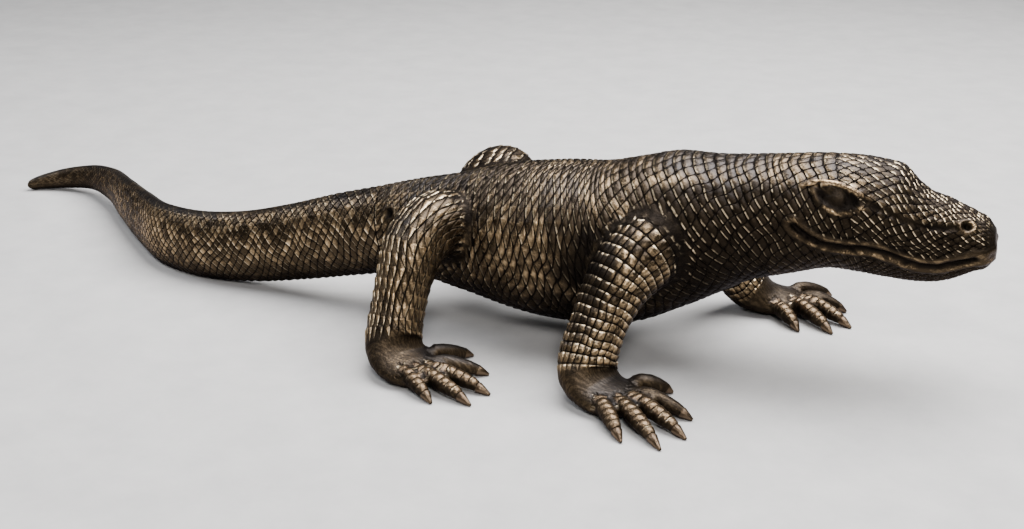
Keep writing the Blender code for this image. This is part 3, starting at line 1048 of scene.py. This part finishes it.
print("lines of the face:", ", ".join(FACE_LINES))

# %% [markdown]
# ## Ridges and grooves
# Everything on the face is a ridge or a groove at some distance from one of the lines. A bump
# curve gives the cross-section: full at the line, falling smoothly to nothing at its reach.

# %% Ridges and grooves
# Height, reach and distance from its line of each ridge, or groove where the height is negative
FOLDS = {
    "mouth": (-3.4, 2.2, 0.0),
    "lips": (1.0, 3.2, 5.4),
    "lip_edge": (-0.9, 1.9, 0.0),
    "brow": (2.4, 3.4, 0.0),
    "lid": (1.5, 2.4, 0.0),
    "tear": (-2.6, 3.4, 0.0),
    "tear_side": (0.8, 2.5, 4.2),
    "nostril_rim": (1.7, 2.6, NOSTRIL_RADIUS),
    "nostril": (-4.0, 3.6, 0.0),
    "chin_pit": (-2.0, 2.2, 0.0),
}
MOUTH_FLAT = 0.6
EYEBALL_RISE = 3.4
EYE_RING = (9.6, 1.5)
EYE_RING_RISE = 0.9
EYE_RING_WIDTH = 7.5


def line_distance(places, line):
    """Distance of every place to the nearest point of a line through corners."""
    corners = np.array(line, float)
    best = np.full(len(places), np.inf)
    for start, end in zip(corners, corners[1:]):
        reach = end - start
        way = np.clip((places - start) @ reach / (reach @ reach), 0, 1)
        best = np.minimum(best, np.linalg.norm(places - start - way[:, None] * reach, axis=1))
    return best


def bump(distance, reach):
    """One at no distance, falling smoothly to nothing at the reach."""
    inside = np.clip(1 - distance / reach, 0, 1)
    return inside * inside * (3 - 2 * inside)


def fold(name, distance):
    """Cross-section of a ridge or groove at a distance from its line."""
    rise, reach, middle = FOLDS[name]
    return rise * bump(np.abs(distance - middle), reach)


print("ridges and grooves:", ", ".join(FOLDS))

# %% [markdown]
# ## The face in numbers
# For the points of the head, this gathers the distances to all lines once, and answers four
# questions from them: how far the skin rises, where it is bare of scales, where shade is painted
# into the hollows, and where the metal shines.

# %% Face
class Face:
    """Distances from the face's lines and hollows at some places of the head's right side."""

    def __init__(self, places):
        self.places = places
        for name, line in FACE_LINES.items():
            setattr(self, name, line_distance(places, line))
        self.nose = np.linalg.norm((places - np.array(NOSTRIL_CENTRE)) * (0.8, 1, 1), axis=1)
        self.chin = np.linalg.norm(places - np.array(CHIN_PIT), axis=1)
        eye_axis = unit(np.array(EYE_FRONT) - np.array(EYE_BACK))
        from_eye = places - np.array(EYE_CENTRE)
        along = from_eye @ eye_axis
        across = np.linalg.norm(from_eye - along[:, None] * eye_axis, axis=1)
        away = np.linalg.norm(from_eye, axis=1)
        self.almond = (along / EYE_LENGTH) ** 2 + across / EYE_HEIGHT
        self.ball = np.sqrt(np.clip(1 - (away / EYEBALL_RADIUS) ** 2, 0, 1))
        self.ring = bump(np.abs(away - EYE_RING[0]), EYE_RING[1]) * (across < EYE_RING_WIDTH)

    def relief(self):
        """How far the skin rises or sinks."""
        rise = fold("mouth", np.clip(self.mouth - MOUTH_FLAT, 0, None)) + fold("lips", self.mouth)
        rise += fold("lip_edge", self.upper_lip) * (self.mouth > 4)
        rise += fold("lip_edge", self.lower_lip) * (self.mouth > 3)
        rise -= SOCKET_DEPTH * bump(self.almond - 0.65, 0.35)
        rise += EYEBALL_RISE * self.ball + EYE_RING_RISE * self.ring
        rise += fold("brow", self.brow) + fold("lid", self.lower_lid)
        rise += fold("tear", self.tear_groove) * (self.almond > 1)
        rise += fold("tear_side", self.tear_groove) * (self.almond > 1.2)
        rise += fold("nostril_rim", self.nose) + fold("nostril", self.nose)
        return rise + fold("chin_pit", self.chin)

    def plain(self):
        """Where the bronze has no scales."""
        return np.maximum.reduce([
            np.clip((8.6 - self.mouth) / 1.3, 0, 1), np.clip((1.25 - self.almond) / 0.15, 0, 1),
            bump(self.brow, 3.2) > 0.3, bump(self.lower_lid, 2.2) > 0.3, bump(self.tear_groove, 4) > 0.35,
            np.clip((7.5 - self.nose) / 1.5, 0, 1), np.clip((self.places[:, 0] - 497) / 3, 0, 1),
        ])

    def dirt(self):
        """Painted shade in the face's hollows: the mouth, the eye's corners, the nostril and the grooves."""
        eye = np.clip((1.3 - self.almond) / 0.3, 0, 1) * (0.9 - 0.55 * self.ball) * (1 - 0.3 * self.ring)
        eye *= (1 - bump(self.brow, 3.6)) * (1 - bump(self.lower_lid, 2.6))
        return np.maximum.reduce([
            np.clip((2.8 - self.mouth) / 1.2, 0, 1), eye, bump(self.nose, 4.2),
            0.25 * np.clip((self.places[:, 0] - 501) / 2, 0, 1),
            bump(self.tear_groove, 3.8) * (self.almond > 1),
            0.7 * bump(self.upper_lip, 1.8) * (self.mouth > 4),
            0.7 * bump(self.lower_lip, 1.8) * (self.mouth > 3),
        ])

    def bright(self):
        """Where the metal shines: the brow, the lids, the lips and the nostril's rim."""
        return np.maximum.reduce([
            1.0 * bump(self.brow, 2.9), 0.8 * bump(self.lower_lid, 2.2),
            0.3 * bump(np.abs(self.mouth - 5.0), 2.6), 0.4 * bump(np.abs(self.mouth - 3.7), 1.7),
            0.6 * bump(np.abs(self.nose - NOSTRIL_RADIUS), 1.6), 0.15 * self.ring,
        ])


# The head's part of the skin: x beyond, y within, z above
HEAD_BOX = (345, 60, 80)
on_head = np.flatnonzero(
    (points[:, 0] > HEAD_BOX[0]) & (np.abs(points[:, 1]) < HEAD_BOX[1]) & (points[:, 2] > HEAD_BOX[2]))


face = Face(points[on_head] * (1, 0, 1) + np.abs(points[on_head]) * (0, 1, 0))
print("the face is carved on", len(on_head), "points")

# %% [markdown]
# ## Painted shade and dull metal
# Under the belly, behind the shoulder, in the groin, on downward faces and near the joints, shade
# is painted into the colour: the metal there is darkened. The neck's lower half and the cheeks are
# dull: there only the painted highlights along the scales' edges stay bright.

# %% Painted shade and dullness
# Painted shade near the limbs' joints: reach and strength of a wide band and of a thin line at each joint
CREASE_REACH = 17
CREASE_SHADE = 0.5
SEAM_REACH = 3.6
SEAM_SHADE = 0.7
SEAM_SMOOTH = 2.2
DULLNESS = 0.9
# The neck and cheeks are dull below this height at each x
DULL_X = (230, 300, 380, 409, 474, 505)
DULL_BELOW = (152, 160, 166, 157, 140, 136)
DULL_HEAD_TOP = 0.62


def painted_shade_places(points, normals):
    """Painted shade: darker on undersides, on the neck's lower half, behind the shoulder and in the groin."""
    x, y, z = points.T
    under = np.clip(-0.1 - normals[:, 2], 0, 1)
    throat = bump(np.abs(x - 300), 105) * np.clip((158 - z) / 40, 0, 1) * (np.abs(y) < 64) * (z > 55)
    armpit = bump(np.linalg.norm((points * (1, 0, 1)) - (208, 0, 92), axis=1), 62) * (np.abs(y) > 30)
    groin = bump(np.linalg.norm((points * (1, 0, 1)) - (192, 0, 42), axis=1), 44) * (np.abs(y) < 64)
    hollows = np.maximum(0.9 * armpit, 0.75 * groin)
    return np.maximum.reduce([0.85 * np.clip(under * 1.4, 0, 1), 0.5 * throat, hollows])


def dullness(points):
    """Where the metal is dull and only the painted highlights on the scales' edges stay bright: the neck and
    the cheeks below eye and nostril.
    """
    x, y, z = points.T
    limit = np.interp(x, DULL_X, DULL_BELOW)
    ahead = np.clip((x - DULL_X[0]) / 40, 0, 1) * (np.abs(y) < 64) * (z > 55)
    on_top = DULL_HEAD_TOP * np.clip((x - 395) / 20, 0, 1)
    return ahead * np.maximum(np.clip((limit - z) / 10, 0, 1), on_top)


# Painted shade: darker in a wide band near the limbs' joints, more on downward faces, darkest on a thin line
# at each joint, and under the body, on the throat, behind the shoulder and in the groin, except on plain
# skin.
dirt = CREASE_SHADE * bump(limb_distance, CREASE_REACH) * (0.6 - 0.4 * normals[:, 2])
dirt = np.maximum(dirt, SEAM_SHADE * bump(limb_distance, SEAM_REACH))
smooth = np.maximum(smooth, np.clip(1.3 - limb_distance / SEAM_SMOOTH, 0, 1))
dirt = np.maximum(dirt, painted_shade_places(points, normals) * (smooth < 0.9))
polish = point_values(skin, "polish")
polish = np.where(polish > 0, polish, -DULLNESS * dullness(points))
print("dirt lies on", int((dirt > 0.5).sum()), "points")

# %% [markdown]
# ## The last cuts
# The face is cut along the points' normals, and so is one flaw of the casting that the founder
# left in: a small vent hole beside the root of the tail, with a raised ring around it.

# %% Carve the face and the vent hole
VENT_CENTRE = (25.5, -29.9, 96.0)
VENT_DIRECTION = (0, -0.8, 0.6)
VENT_HOLE = (4.5, 5)
VENT_RING = (0.8, 6, 2)
VENT_LENGTH = 12


def carve_face(points, normals, height, smooth, dirt, polish):
    """Cut the mouth, eyes, nostrils and their folds into the head, and paint shade into the hollows."""
    plain, bright = face.plain(), face.bright()
    points[on_head] += face.relief()[:, None] * normals[on_head]
    height[on_head] += (1 - height[on_head]) * plain
    smooth[on_head] = np.maximum(smooth[on_head], plain)
    # Painted shade in the face's hollows.
    dirt[on_head] = face.dirt()
    polish[on_head] = np.minimum(polish[on_head], -0.7 * plain) * (1 - bright) + bright


def cut_vent(points, normals, height, smooth, dirt):
    """Press the casting's small vent hole into the skin, with a raised ring around it."""
    reach = points - np.array(VENT_CENTRE)
    outward = np.array(VENT_DIRECTION)
    deep = reach @ outward
    away = np.linalg.norm(reach - deep[:, None] * outward, axis=1) + 100 * (np.abs(deep) > VENT_LENGTH)
    ring = VENT_RING[0] * bump(np.abs(away - VENT_RING[1]), VENT_RING[2])
    points += (ring - VENT_HOLE[0] * bump(away, VENT_HOLE[1]))[:, None] * normals
    plain = np.clip((7.5 - away) / 1.5, 0, 1)
    height += (1 - height) * plain
    smooth[:] = np.maximum(smooth, plain)
    # Painted shade inside the vent hole and faintly around it.
    dirt[:] = np.maximum(dirt, np.maximum(np.clip((5.6 - away) / 1.5, 0, 1), 0.6 * plain))


carve_face(points, normals, height, smooth, dirt, polish)
cut_vent(points, normals, height, smooth, dirt)
points[:, 2] = np.maximum(points[:, 2], 0)
skin.vertices.foreach_set("co", (points * SHARE).astype(np.float32).ravel())
# The painted shade goes to the material as a point attribute.
skin.attributes.new("dirt", "FLOAT", "POINT")
for key, value in (("height", height), ("smooth", smooth), ("polish", polish), ("dirt", dirt)):
    skin.attributes[key].data.foreach_set("value", value.astype(np.float32))
skin.update()
print("carved the face and the vent hole")

# %% [markdown]
# ## Nodes in plain words
# A material is a chain of small sums. This short class writes such a chain as ordinary calls,
# and the Geometry Nodes further on use it too.

# %% Short way to write nodes
class Nodes:
    """Short way to add nodes to a tree and link them."""

    def __init__(self, tree):
        self.tree = tree

    def add(self, kind, inputs=(), **settings):
        """Add a node, set its properties, and fill its inputs with values or sockets."""
        node = self.tree.nodes.new(kind)
        for key, value in settings.items():
            setattr(node, key, value)
        for key, value in dict(inputs).items():
            socket = node.inputs[key]
            if isinstance(value, bpy.types.NodeSocket):
                self.tree.links.new(value, socket)
            else:
                socket.default_value = value
        return node

    def math(self, operation, *values):
        """Math node's result."""
        return self.add("ShaderNodeMath", dict(enumerate(values)), operation=operation).outputs[0]

    def times(self, *values):
        """Product of two or more values."""
        product = values[0]
        for value in values[1:]:
            product = self.math("MULTIPLY", product, value)
        return product

    def rest(self, value):
        """What is left of one."""
        return self.math("SUBTRACT", 1.0, value)

    def ramp(self, value, low, high, start=0.0, end=1.0):
        """Value carried smoothly from one range to another."""
        inputs = {"Value": value, "From Min": low, "From Max": high, "To Min": start, "To Max": end}
        node = self.add("ShaderNodeMapRange", inputs, interpolation_type="SMOOTHSTEP")
        return node.outputs["Result"]

    def mix(self, factor, first, second):
        """Mixed colour."""
        node = self.add("ShaderNodeMix", data_type="RGBA")
        for socket, value in zip((node.inputs[0], node.inputs[6], node.inputs[7]), (factor, first, second)):
            if isinstance(value, bpy.types.NodeSocket):
                self.tree.links.new(value, socket)
            else:
                socket.default_value = value
        return node.outputs[2]

    def arch(self, count):
        """Parabola over a cell: nothing at whole counts, one in between."""
        away = self.math("MULTIPLY_ADD", self.math("PINGPONG", count, 0.5), -2.0, 1.0)
        return self.rest(self.math("MULTIPLY", away, away))

    def attribute(self, name):
        """A point attribute's value."""
        return self.add("ShaderNodeAttribute", attribute_name=name).outputs["Fac"]

    def noise(self, place, scale, detail=2.0):
        """Noise value at a place."""
        node = self.add("ShaderNodeTexNoise", {"Vector": place, "Scale": scale, "Detail": detail})
        return node.outputs["Fac"]


print("node helpers:", ", ".join(name for name in vars(Nodes) if not name.startswith("_")))

# %% [markdown]
# ## The patina
# Chemicals turn bronze nearly black, and hands and cloths rub the high spots back to metal.
# So the colour follows the relief: dark where it's deep, warm gold brown where it's high. The
# same two line counts that cut the scales draw painted highlights along their edges here. Noises
# of six sizes break up the colour, from the broad patches of wear down to the grain of the metal.

# %% Colours and noises of the bronze
GROOVE_COLOUR = (0.006, 0.0045, 0.0035, 1)
BROWN = (0.042, 0.0292, 0.0168, 1)
GOLD = (0.68, 0.475, 0.265, 1)
PLATE = (0.085, 0.059, 0.04, 1)
# Colour of the painted glints along the scales' edges
PAINTED_GLINT = (0.92, 0.74, 0.50, 1)
# Painted reflection of the light above, on upward faces
PAINTED_SHEEN = (0.031, 0.0305, 0.033, 1)
EDGE_TINT = (0.62, 0.60, 0.62, 1)
METALLIC = 0.92
SPECULAR = 0.4
BUMP_DISTANCE = 0.0004
# Size in features a metre, and detail
NOISES = {
    "patch": (24, 4), "stain": (110, 3), "rims": (300, 3),
    "wobble": (700, 3), "fine": (1500, 4), "scratches": (1800, 3),
}
SCRATCH_STRETCH = (0.15, 1.0, 0.2)
print("noises:", ", ".join(NOISES))

# %% [markdown]
# ## What the surface knows
# The mesh brings its values as attributes and its line counts as a UV map. From these come the
# dome of each scale, the distance behind its groove, and one random tint for the whole scale.

# %% Surface values
class Surface:
    """What the mesh says at every place of the bronze, as sockets."""

    def __init__(self, nodes):
        self.place = nodes.add("ShaderNodeTexCoord").outputs["Object"]
        normal = nodes.add("ShaderNodeNewGeometry").outputs["Normal"]
        self.up = nodes.add("ShaderNodeSeparateXYZ", {0: normal}).outputs["Z"]
        scales = nodes.add("ShaderNodeUVMap", uv_map="scales").outputs["UV"]
        split = nodes.add("ShaderNodeSeparateXYZ", {0: scales})
        p, q = split.outputs["X"], split.outputs["Y"]
        self.smooth = nodes.attribute("smooth")
        self.height = nodes.attribute("height")
        self.polish = nodes.attribute("polish")
        # What the painted shade leaves unshaded.
        self.clean = nodes.rest(nodes.attribute("dirt"))
        self.across = nodes.arch(q)
        below = nodes.math("SUBTRACT", self.across, 1.0)
        cross = nodes.math("MULTIPLY_ADD", below, nodes.attribute("cross"), 1.0)
        self.dome = nodes.times(nodes.arch(p), cross)
        self.behind = nodes.math("FRACT", p)
        self.bare = nodes.times(self.smooth, nodes.ramp(self.height, 0.5, 1.0, 1.0, 0.0))
        cell = nodes.add("ShaderNodeCombineXYZ", {"X": nodes.math("FLOOR", p), "Y": nodes.math("FLOOR", q)})
        self.tint = nodes.add("ShaderNodeTexWhiteNoise", {"Vector": cell.outputs[0]}).outputs["Value"]
        self.fine = nodes.noise(self.place, *NOISES["fine"])
        self.patch = nodes.noise(self.place, *NOISES["patch"])


bronze = bpy.data.materials.new("patinated_bronze")
bronze.use_nodes = True
nodes = Nodes(bronze.node_tree)
surface = Surface(nodes)
print("nodes that read the surface:", len(bronze.node_tree.nodes))

# %% [markdown]
# ## Crowns and painted shade
# The top of a scale is where rubbing could reach it, with an edge that wobbles. How much of it
# shows is another matter: painted shade and stains cover it, and on skin without scales only thin
# scratches are bare, with a painted sheen on the upward faces.

# %% Crowns and bare metal
def crown_of(nodes, s):
    """Top of a scale, with an uneven edge."""
    wobble = nodes.math("MULTIPLY_ADD", nodes.noise(s.place, *NOISES["wobble"]), 0.24, -0.12)
    crown = nodes.ramp(nodes.math("ADD", s.dome, wobble), 0.05, 0.3)
    crown = nodes.times(crown, nodes.ramp(s.height, 0.0, 0.4, 0.5, 1.0))
    return nodes.math("MAXIMUM", crown, s.smooth)


def shown_of(nodes, s, crown):
    """How much bare metal shows: on the crowns, less in painted shade and stains, in scratches on plain skin
    and as a painted sheen on its upward faces.
    """
    stain = nodes.math("MULTIPLY_ADD", nodes.noise(s.place, *NOISES["stain"]), 1.2, -0.6)
    shown = nodes.ramp(nodes.math("ADD", s.clean, stain), 0.05, 0.95)
    stretch = nodes.add("ShaderNodeVectorMath", {0: s.place, 1: SCRATCH_STRETCH}, operation="MULTIPLY")
    scratches = nodes.ramp(nodes.noise(stretch.outputs[0], *NOISES["scratches"]), 0.42, 0.62)
    # Painted sheen: bare skin shows more metal on upward faces.
    scratched = nodes.math("MULTIPLY_ADD", scratches, 0.3, nodes.ramp(s.up, 0.4, 0.95, 0.12, 0.5))
    worn = nodes.rest(nodes.times(s.bare, nodes.rest(scratched)))
    return nodes.times(crown, nodes.times(shown, worn), nodes.ramp(s.polish, -1.0, 0.0, 0.3, 1.0))


crown = crown_of(nodes, surface)
shown = shown_of(nodes, surface, crown)
print("with crowns and dirt:", len(bronze.node_tree.nodes), "nodes")

# %% [markdown]
# ## Where the metal is gold
# Wear comes in patches, differs from scale to scale, and is strongest just behind each groove,
# where the scale stands highest. It fades on downward faces, which also paints shade under the
# body. Upward faces carry a painted cool grey sheen, a painted reflection of the light above, and
# the toes' plates are rubbed to an even brown gold.

# %% Wear, metal, painted sheen and painted rim highlights
def wear_of(nodes, s, shown):
    """How far the brown is rubbed to gold."""
    wear = nodes.math("ADD", nodes.times(s.tint, 0.45), nodes.times(s.patch, 1.3))
    wear = nodes.math("ADD", wear, nodes.times(s.fine, 0.7))
    behind = nodes.math("MAXIMUM", nodes.ramp(s.behind, 0.2, 0.95, 1.0, 0.35), s.smooth)
    # Less wear and painted shade on downward faces: the up ramp falls to a tenth there.
    return nodes.times(
        nodes.ramp(wear, 1.02, 1.52), nodes.ramp(s.up, -0.6, 0.3, 0.1, 1.0),
        nodes.ramp(s.polish, -1.0, 0.0, 0.08, 1.0), behind,
        nodes.ramp(nodes.times(s.height, shown), 0.3, 0.9, 0.2, 1.0))


def metal_of(nodes, s, wear):
    """Colour of the bare metal, with a painted cool sheen on upward faces."""
    # Painted reflection: upward faces turn cool grey.
    painted_sheen = nodes.times(nodes.ramp(s.up, 0.3, 0.9), nodes.ramp(s.patch, 0.38, 0.6, 0.35, 0.9))
    metal = nodes.mix(painted_sheen, nodes.mix(wear, BROWN, GOLD), PAINTED_SHEEN)
    rubbed = nodes.mix(nodes.ramp(s.polish, 0.4, 0.9), PLATE, GOLD)
    return nodes.mix(nodes.times(nodes.ramp(s.polish, 0.0, 0.35), 0.9), metal, rubbed)


def painted_highlight_of(nodes, s):
    """Painted highlight: a bright line behind a groove, on some scales and on the whole of the dull neck,
    brighter on upward faces.
    """
    sharp = nodes.math(
        "MAXIMUM", nodes.ramp(s.tint, 0.2, 0.8, 0.3, 1.0), nodes.ramp(s.polish, -0.8, -0.2, 1.0, 0.0))
    return nodes.times(
        nodes.ramp(s.behind, 0.04, 0.09), nodes.ramp(s.behind, 0.16, 0.28, 1.0, 0.0),
        nodes.ramp(s.across, 0.15, 0.5), nodes.ramp(nodes.noise(s.place, *NOISES["rims"]), 0.42, 0.56),
        sharp, nodes.rest(s.smooth), nodes.ramp(s.up, -0.7, 0.2, 0.15, 0.85),
        nodes.ramp(s.clean, 0.1, 0.5))


metal = metal_of(nodes, surface, wear_of(nodes, surface, shown))
patina = nodes.mix(shown, GROOVE_COLOUR, metal)
# Painted highlights along the scales' edges go over the patina.
colour = nodes.mix(painted_highlight_of(nodes, surface), patina, PAINTED_GLINT)
print("with all colours:", len(bronze.node_tree.nodes), "nodes")

# %% [markdown]
# ## The bronze
# The parts come together in one shader. Rubbed metal is smoother than patina, and a slight bump
# gives each scale its own tilt to the light. The edge tint holds back the mirror at grazing
# angles, which a waxed patina doesn't have.

# %% Bronze shader
# Roughness of patina and of rubbed metal, and what the grain and bare skin add
ROUGHNESS = (0.5, 0.25)
GRAIN_ROUGHNESS = 0.12
BARE_ROUGHNESS = 0.08
# Bump of the crowns, of the grain, and of a scale's dome at its least and its spread
CROWN_BUMP = 0.5
GRAIN_BUMP = 0.5
DOME_BUMP = (0.2, 0.3)
DOME_POWER = 0.45


def roughness_of(nodes, s, shown):
    """Rubbed metal smoother than patina, with a grain."""
    rough = nodes.math("ADD", nodes.ramp(shown, 0, 1, *ROUGHNESS), nodes.times(s.fine, GRAIN_ROUGHNESS))
    return nodes.math("MULTIPLY_ADD", s.bare, BARE_ROUGHNESS, rough)


def bump_of(nodes, s, crown):
    """Normal tilted by crowns, grain and each scale's own dome."""
    dome = nodes.math("MAXIMUM", nodes.math("POWER", s.dome, DOME_POWER), s.smooth)
    uneven = nodes.times(dome, nodes.math("MULTIPLY_ADD", s.tint, DOME_BUMP[1], DOME_BUMP[0]))
    grain = nodes.math("MULTIPLY_ADD", s.fine, GRAIN_BUMP, uneven)
    rise = nodes.math("ADD", nodes.times(crown, CROWN_BUMP), grain)
    bumped = nodes.add("ShaderNodeBump", {"Height": rise, "Strength": 1.0, "Distance": BUMP_DISTANCE})
    return bumped.outputs["Normal"]


shader = bronze.node_tree.nodes["Principled BSDF"]
for socket, value in (
        ("Base Color", colour),
        ("Roughness", roughness_of(nodes, surface, shown)),
        ("Normal", bump_of(nodes, surface, crown))):
    bronze.node_tree.links.new(value, shader.inputs[socket])
shader.inputs["Metallic"].default_value = METALLIC
shader.inputs["Specular IOR Level"].default_value = SPECULAR
shader.inputs["Specular Tint"].default_value = EDGE_TINT
print("bronze with", len(bronze.node_tree.nodes), "nodes")

# %% [markdown]
# ## Cutting the scales
# The last tool is a small chisel. Geometry Nodes takes the skin and sinks every point along
# its own normal by how low it lies in its scale. The depth wanders a little from place to
# place, and a gentle unevenness of the whole surface keeps it from looking machined.

# %% Node group of the relief
RELIEF_NOISE = 60.0


def relief_tree():
    """Node group that sinks points along their normals by their lowness in the scale."""
    tree = bpy.data.node_groups.new("scale_relief", "GeometryNodeTree")
    tree.interface.new_socket("Geometry", in_out="INPUT", socket_type="NodeSocketGeometry")
    for name in ("Depth", "Wander", "Seed"):
        tree.interface.new_socket(name, in_out="INPUT", socket_type="NodeSocketFloat")
    tree.interface.new_socket("Material", in_out="INPUT", socket_type="NodeSocketMaterial")
    tree.interface.new_socket("Geometry", in_out="OUTPUT", socket_type="NodeSocketGeometry")
    nodes = Nodes(tree)
    given = nodes.add("NodeGroupInput")
    seed = given.outputs["Seed"]
    named = nodes.add("GeometryNodeInputNamedAttribute", {"Name": "height"}, data_type="FLOAT")
    place = nodes.add("GeometryNodeInputPosition").outputs[0]
    normal = nodes.add("GeometryNodeInputNormal").outputs[0]
    noise = nodes.add("ShaderNodeTexNoise", {"Vector": place, "W": seed, "Scale": RELIEF_NOISE},
                      noise_dimensions="4D").outputs["Fac"]
    low = nodes.rest(named.outputs["Attribute"])
    depth = nodes.math("MULTIPLY", given.outputs["Depth"], nodes.math("MULTIPLY_ADD", noise, 1.0, 0.5))
    sink = nodes.math("MULTIPLY", low, depth)
    uneven = nodes.math("MULTIPLY", nodes.math("SUBTRACT", noise, 0.55), given.outputs["Wander"])
    offset = nodes.add("ShaderNodeVectorMath", {0: normal}, operation="SCALE")
    tree.links.new(nodes.math("SUBTRACT", uneven, sink), offset.inputs["Scale"])
    moved = nodes.add("GeometryNodeSetPosition",
                      {"Geometry": given.outputs["Geometry"], "Offset": offset.outputs[0]})
    real = nodes.add("GeometryNodeRealizeInstances", {"Geometry": moved.outputs[0]})
    painted = nodes.add("GeometryNodeSetMaterial",
                        {"Geometry": real.outputs[0], "Material": given.outputs["Material"]})
    result = nodes.add("NodeGroupOutput")
    tree.links.new(painted.outputs[0], result.inputs["Geometry"])
    return tree


relief = relief_tree()
print("relief group with inputs", ", ".join(
    item.name for item in relief.interface.items_tree if item.in_out == "INPUT"))

# %% [markdown]
# ## Cut, and keep inside the box
# The group runs once as a modifier, its result is made a plain mesh, and the modifier is taken
# away again. Points that the unevenness lifted past the frame's box are held at its sides.

# %% Run the relief
RELIEF_DEPTH = 1.0
RELIEF_WANDER = 0.35
RELIEF_SEED = 7.0


def set_inputs(modifier, values):
    """Set a node modifier's inputs by their names."""
    for item in modifier.node_group.interface.items_tree:
        if item.item_type == "SOCKET" and item.in_out == "INPUT" and item.name in values:
            modifier[item.identifier] = values[item.name]


modifier = dragon.modifiers.new("relief", "NODES")
modifier.node_group = relief
set_inputs(modifier, {
    "Depth": RELIEF_DEPTH * SHARE,
    "Wander": RELIEF_WANDER * SHARE,
    "Seed": RELIEF_SEED,
    "Material": bronze,
})
graph = bpy.context.evaluated_depsgraph_get()
carved = bpy.data.meshes.new_from_object(dragon.evaluated_get(graph))
dragon.modifiers.clear()
dragon.data = carved
final = np.empty(len(carved.vertices) * 3, np.float32)
carved.vertices.foreach_get("co", final)
final = final.reshape(-1, 3)
inside = np.clip(final, np.array(cad_low), np.array(cad_high))
print("held inside the frame's box:", int((np.abs(inside - final) > 1e-7).any(axis=1).sum()), "points")
carved.vertices.foreach_set("co", inside.ravel())
carved.update()
carved.shade_smooth()
print("relief cut on", len(carved.vertices), "points,", len(carved.polygons), "faces")

# %% [markdown]
# ## Into the frame
# The carved skin takes the place of the frame's solid and carries its material slot.

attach(dragon, "root")
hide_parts("komodo_dragon")
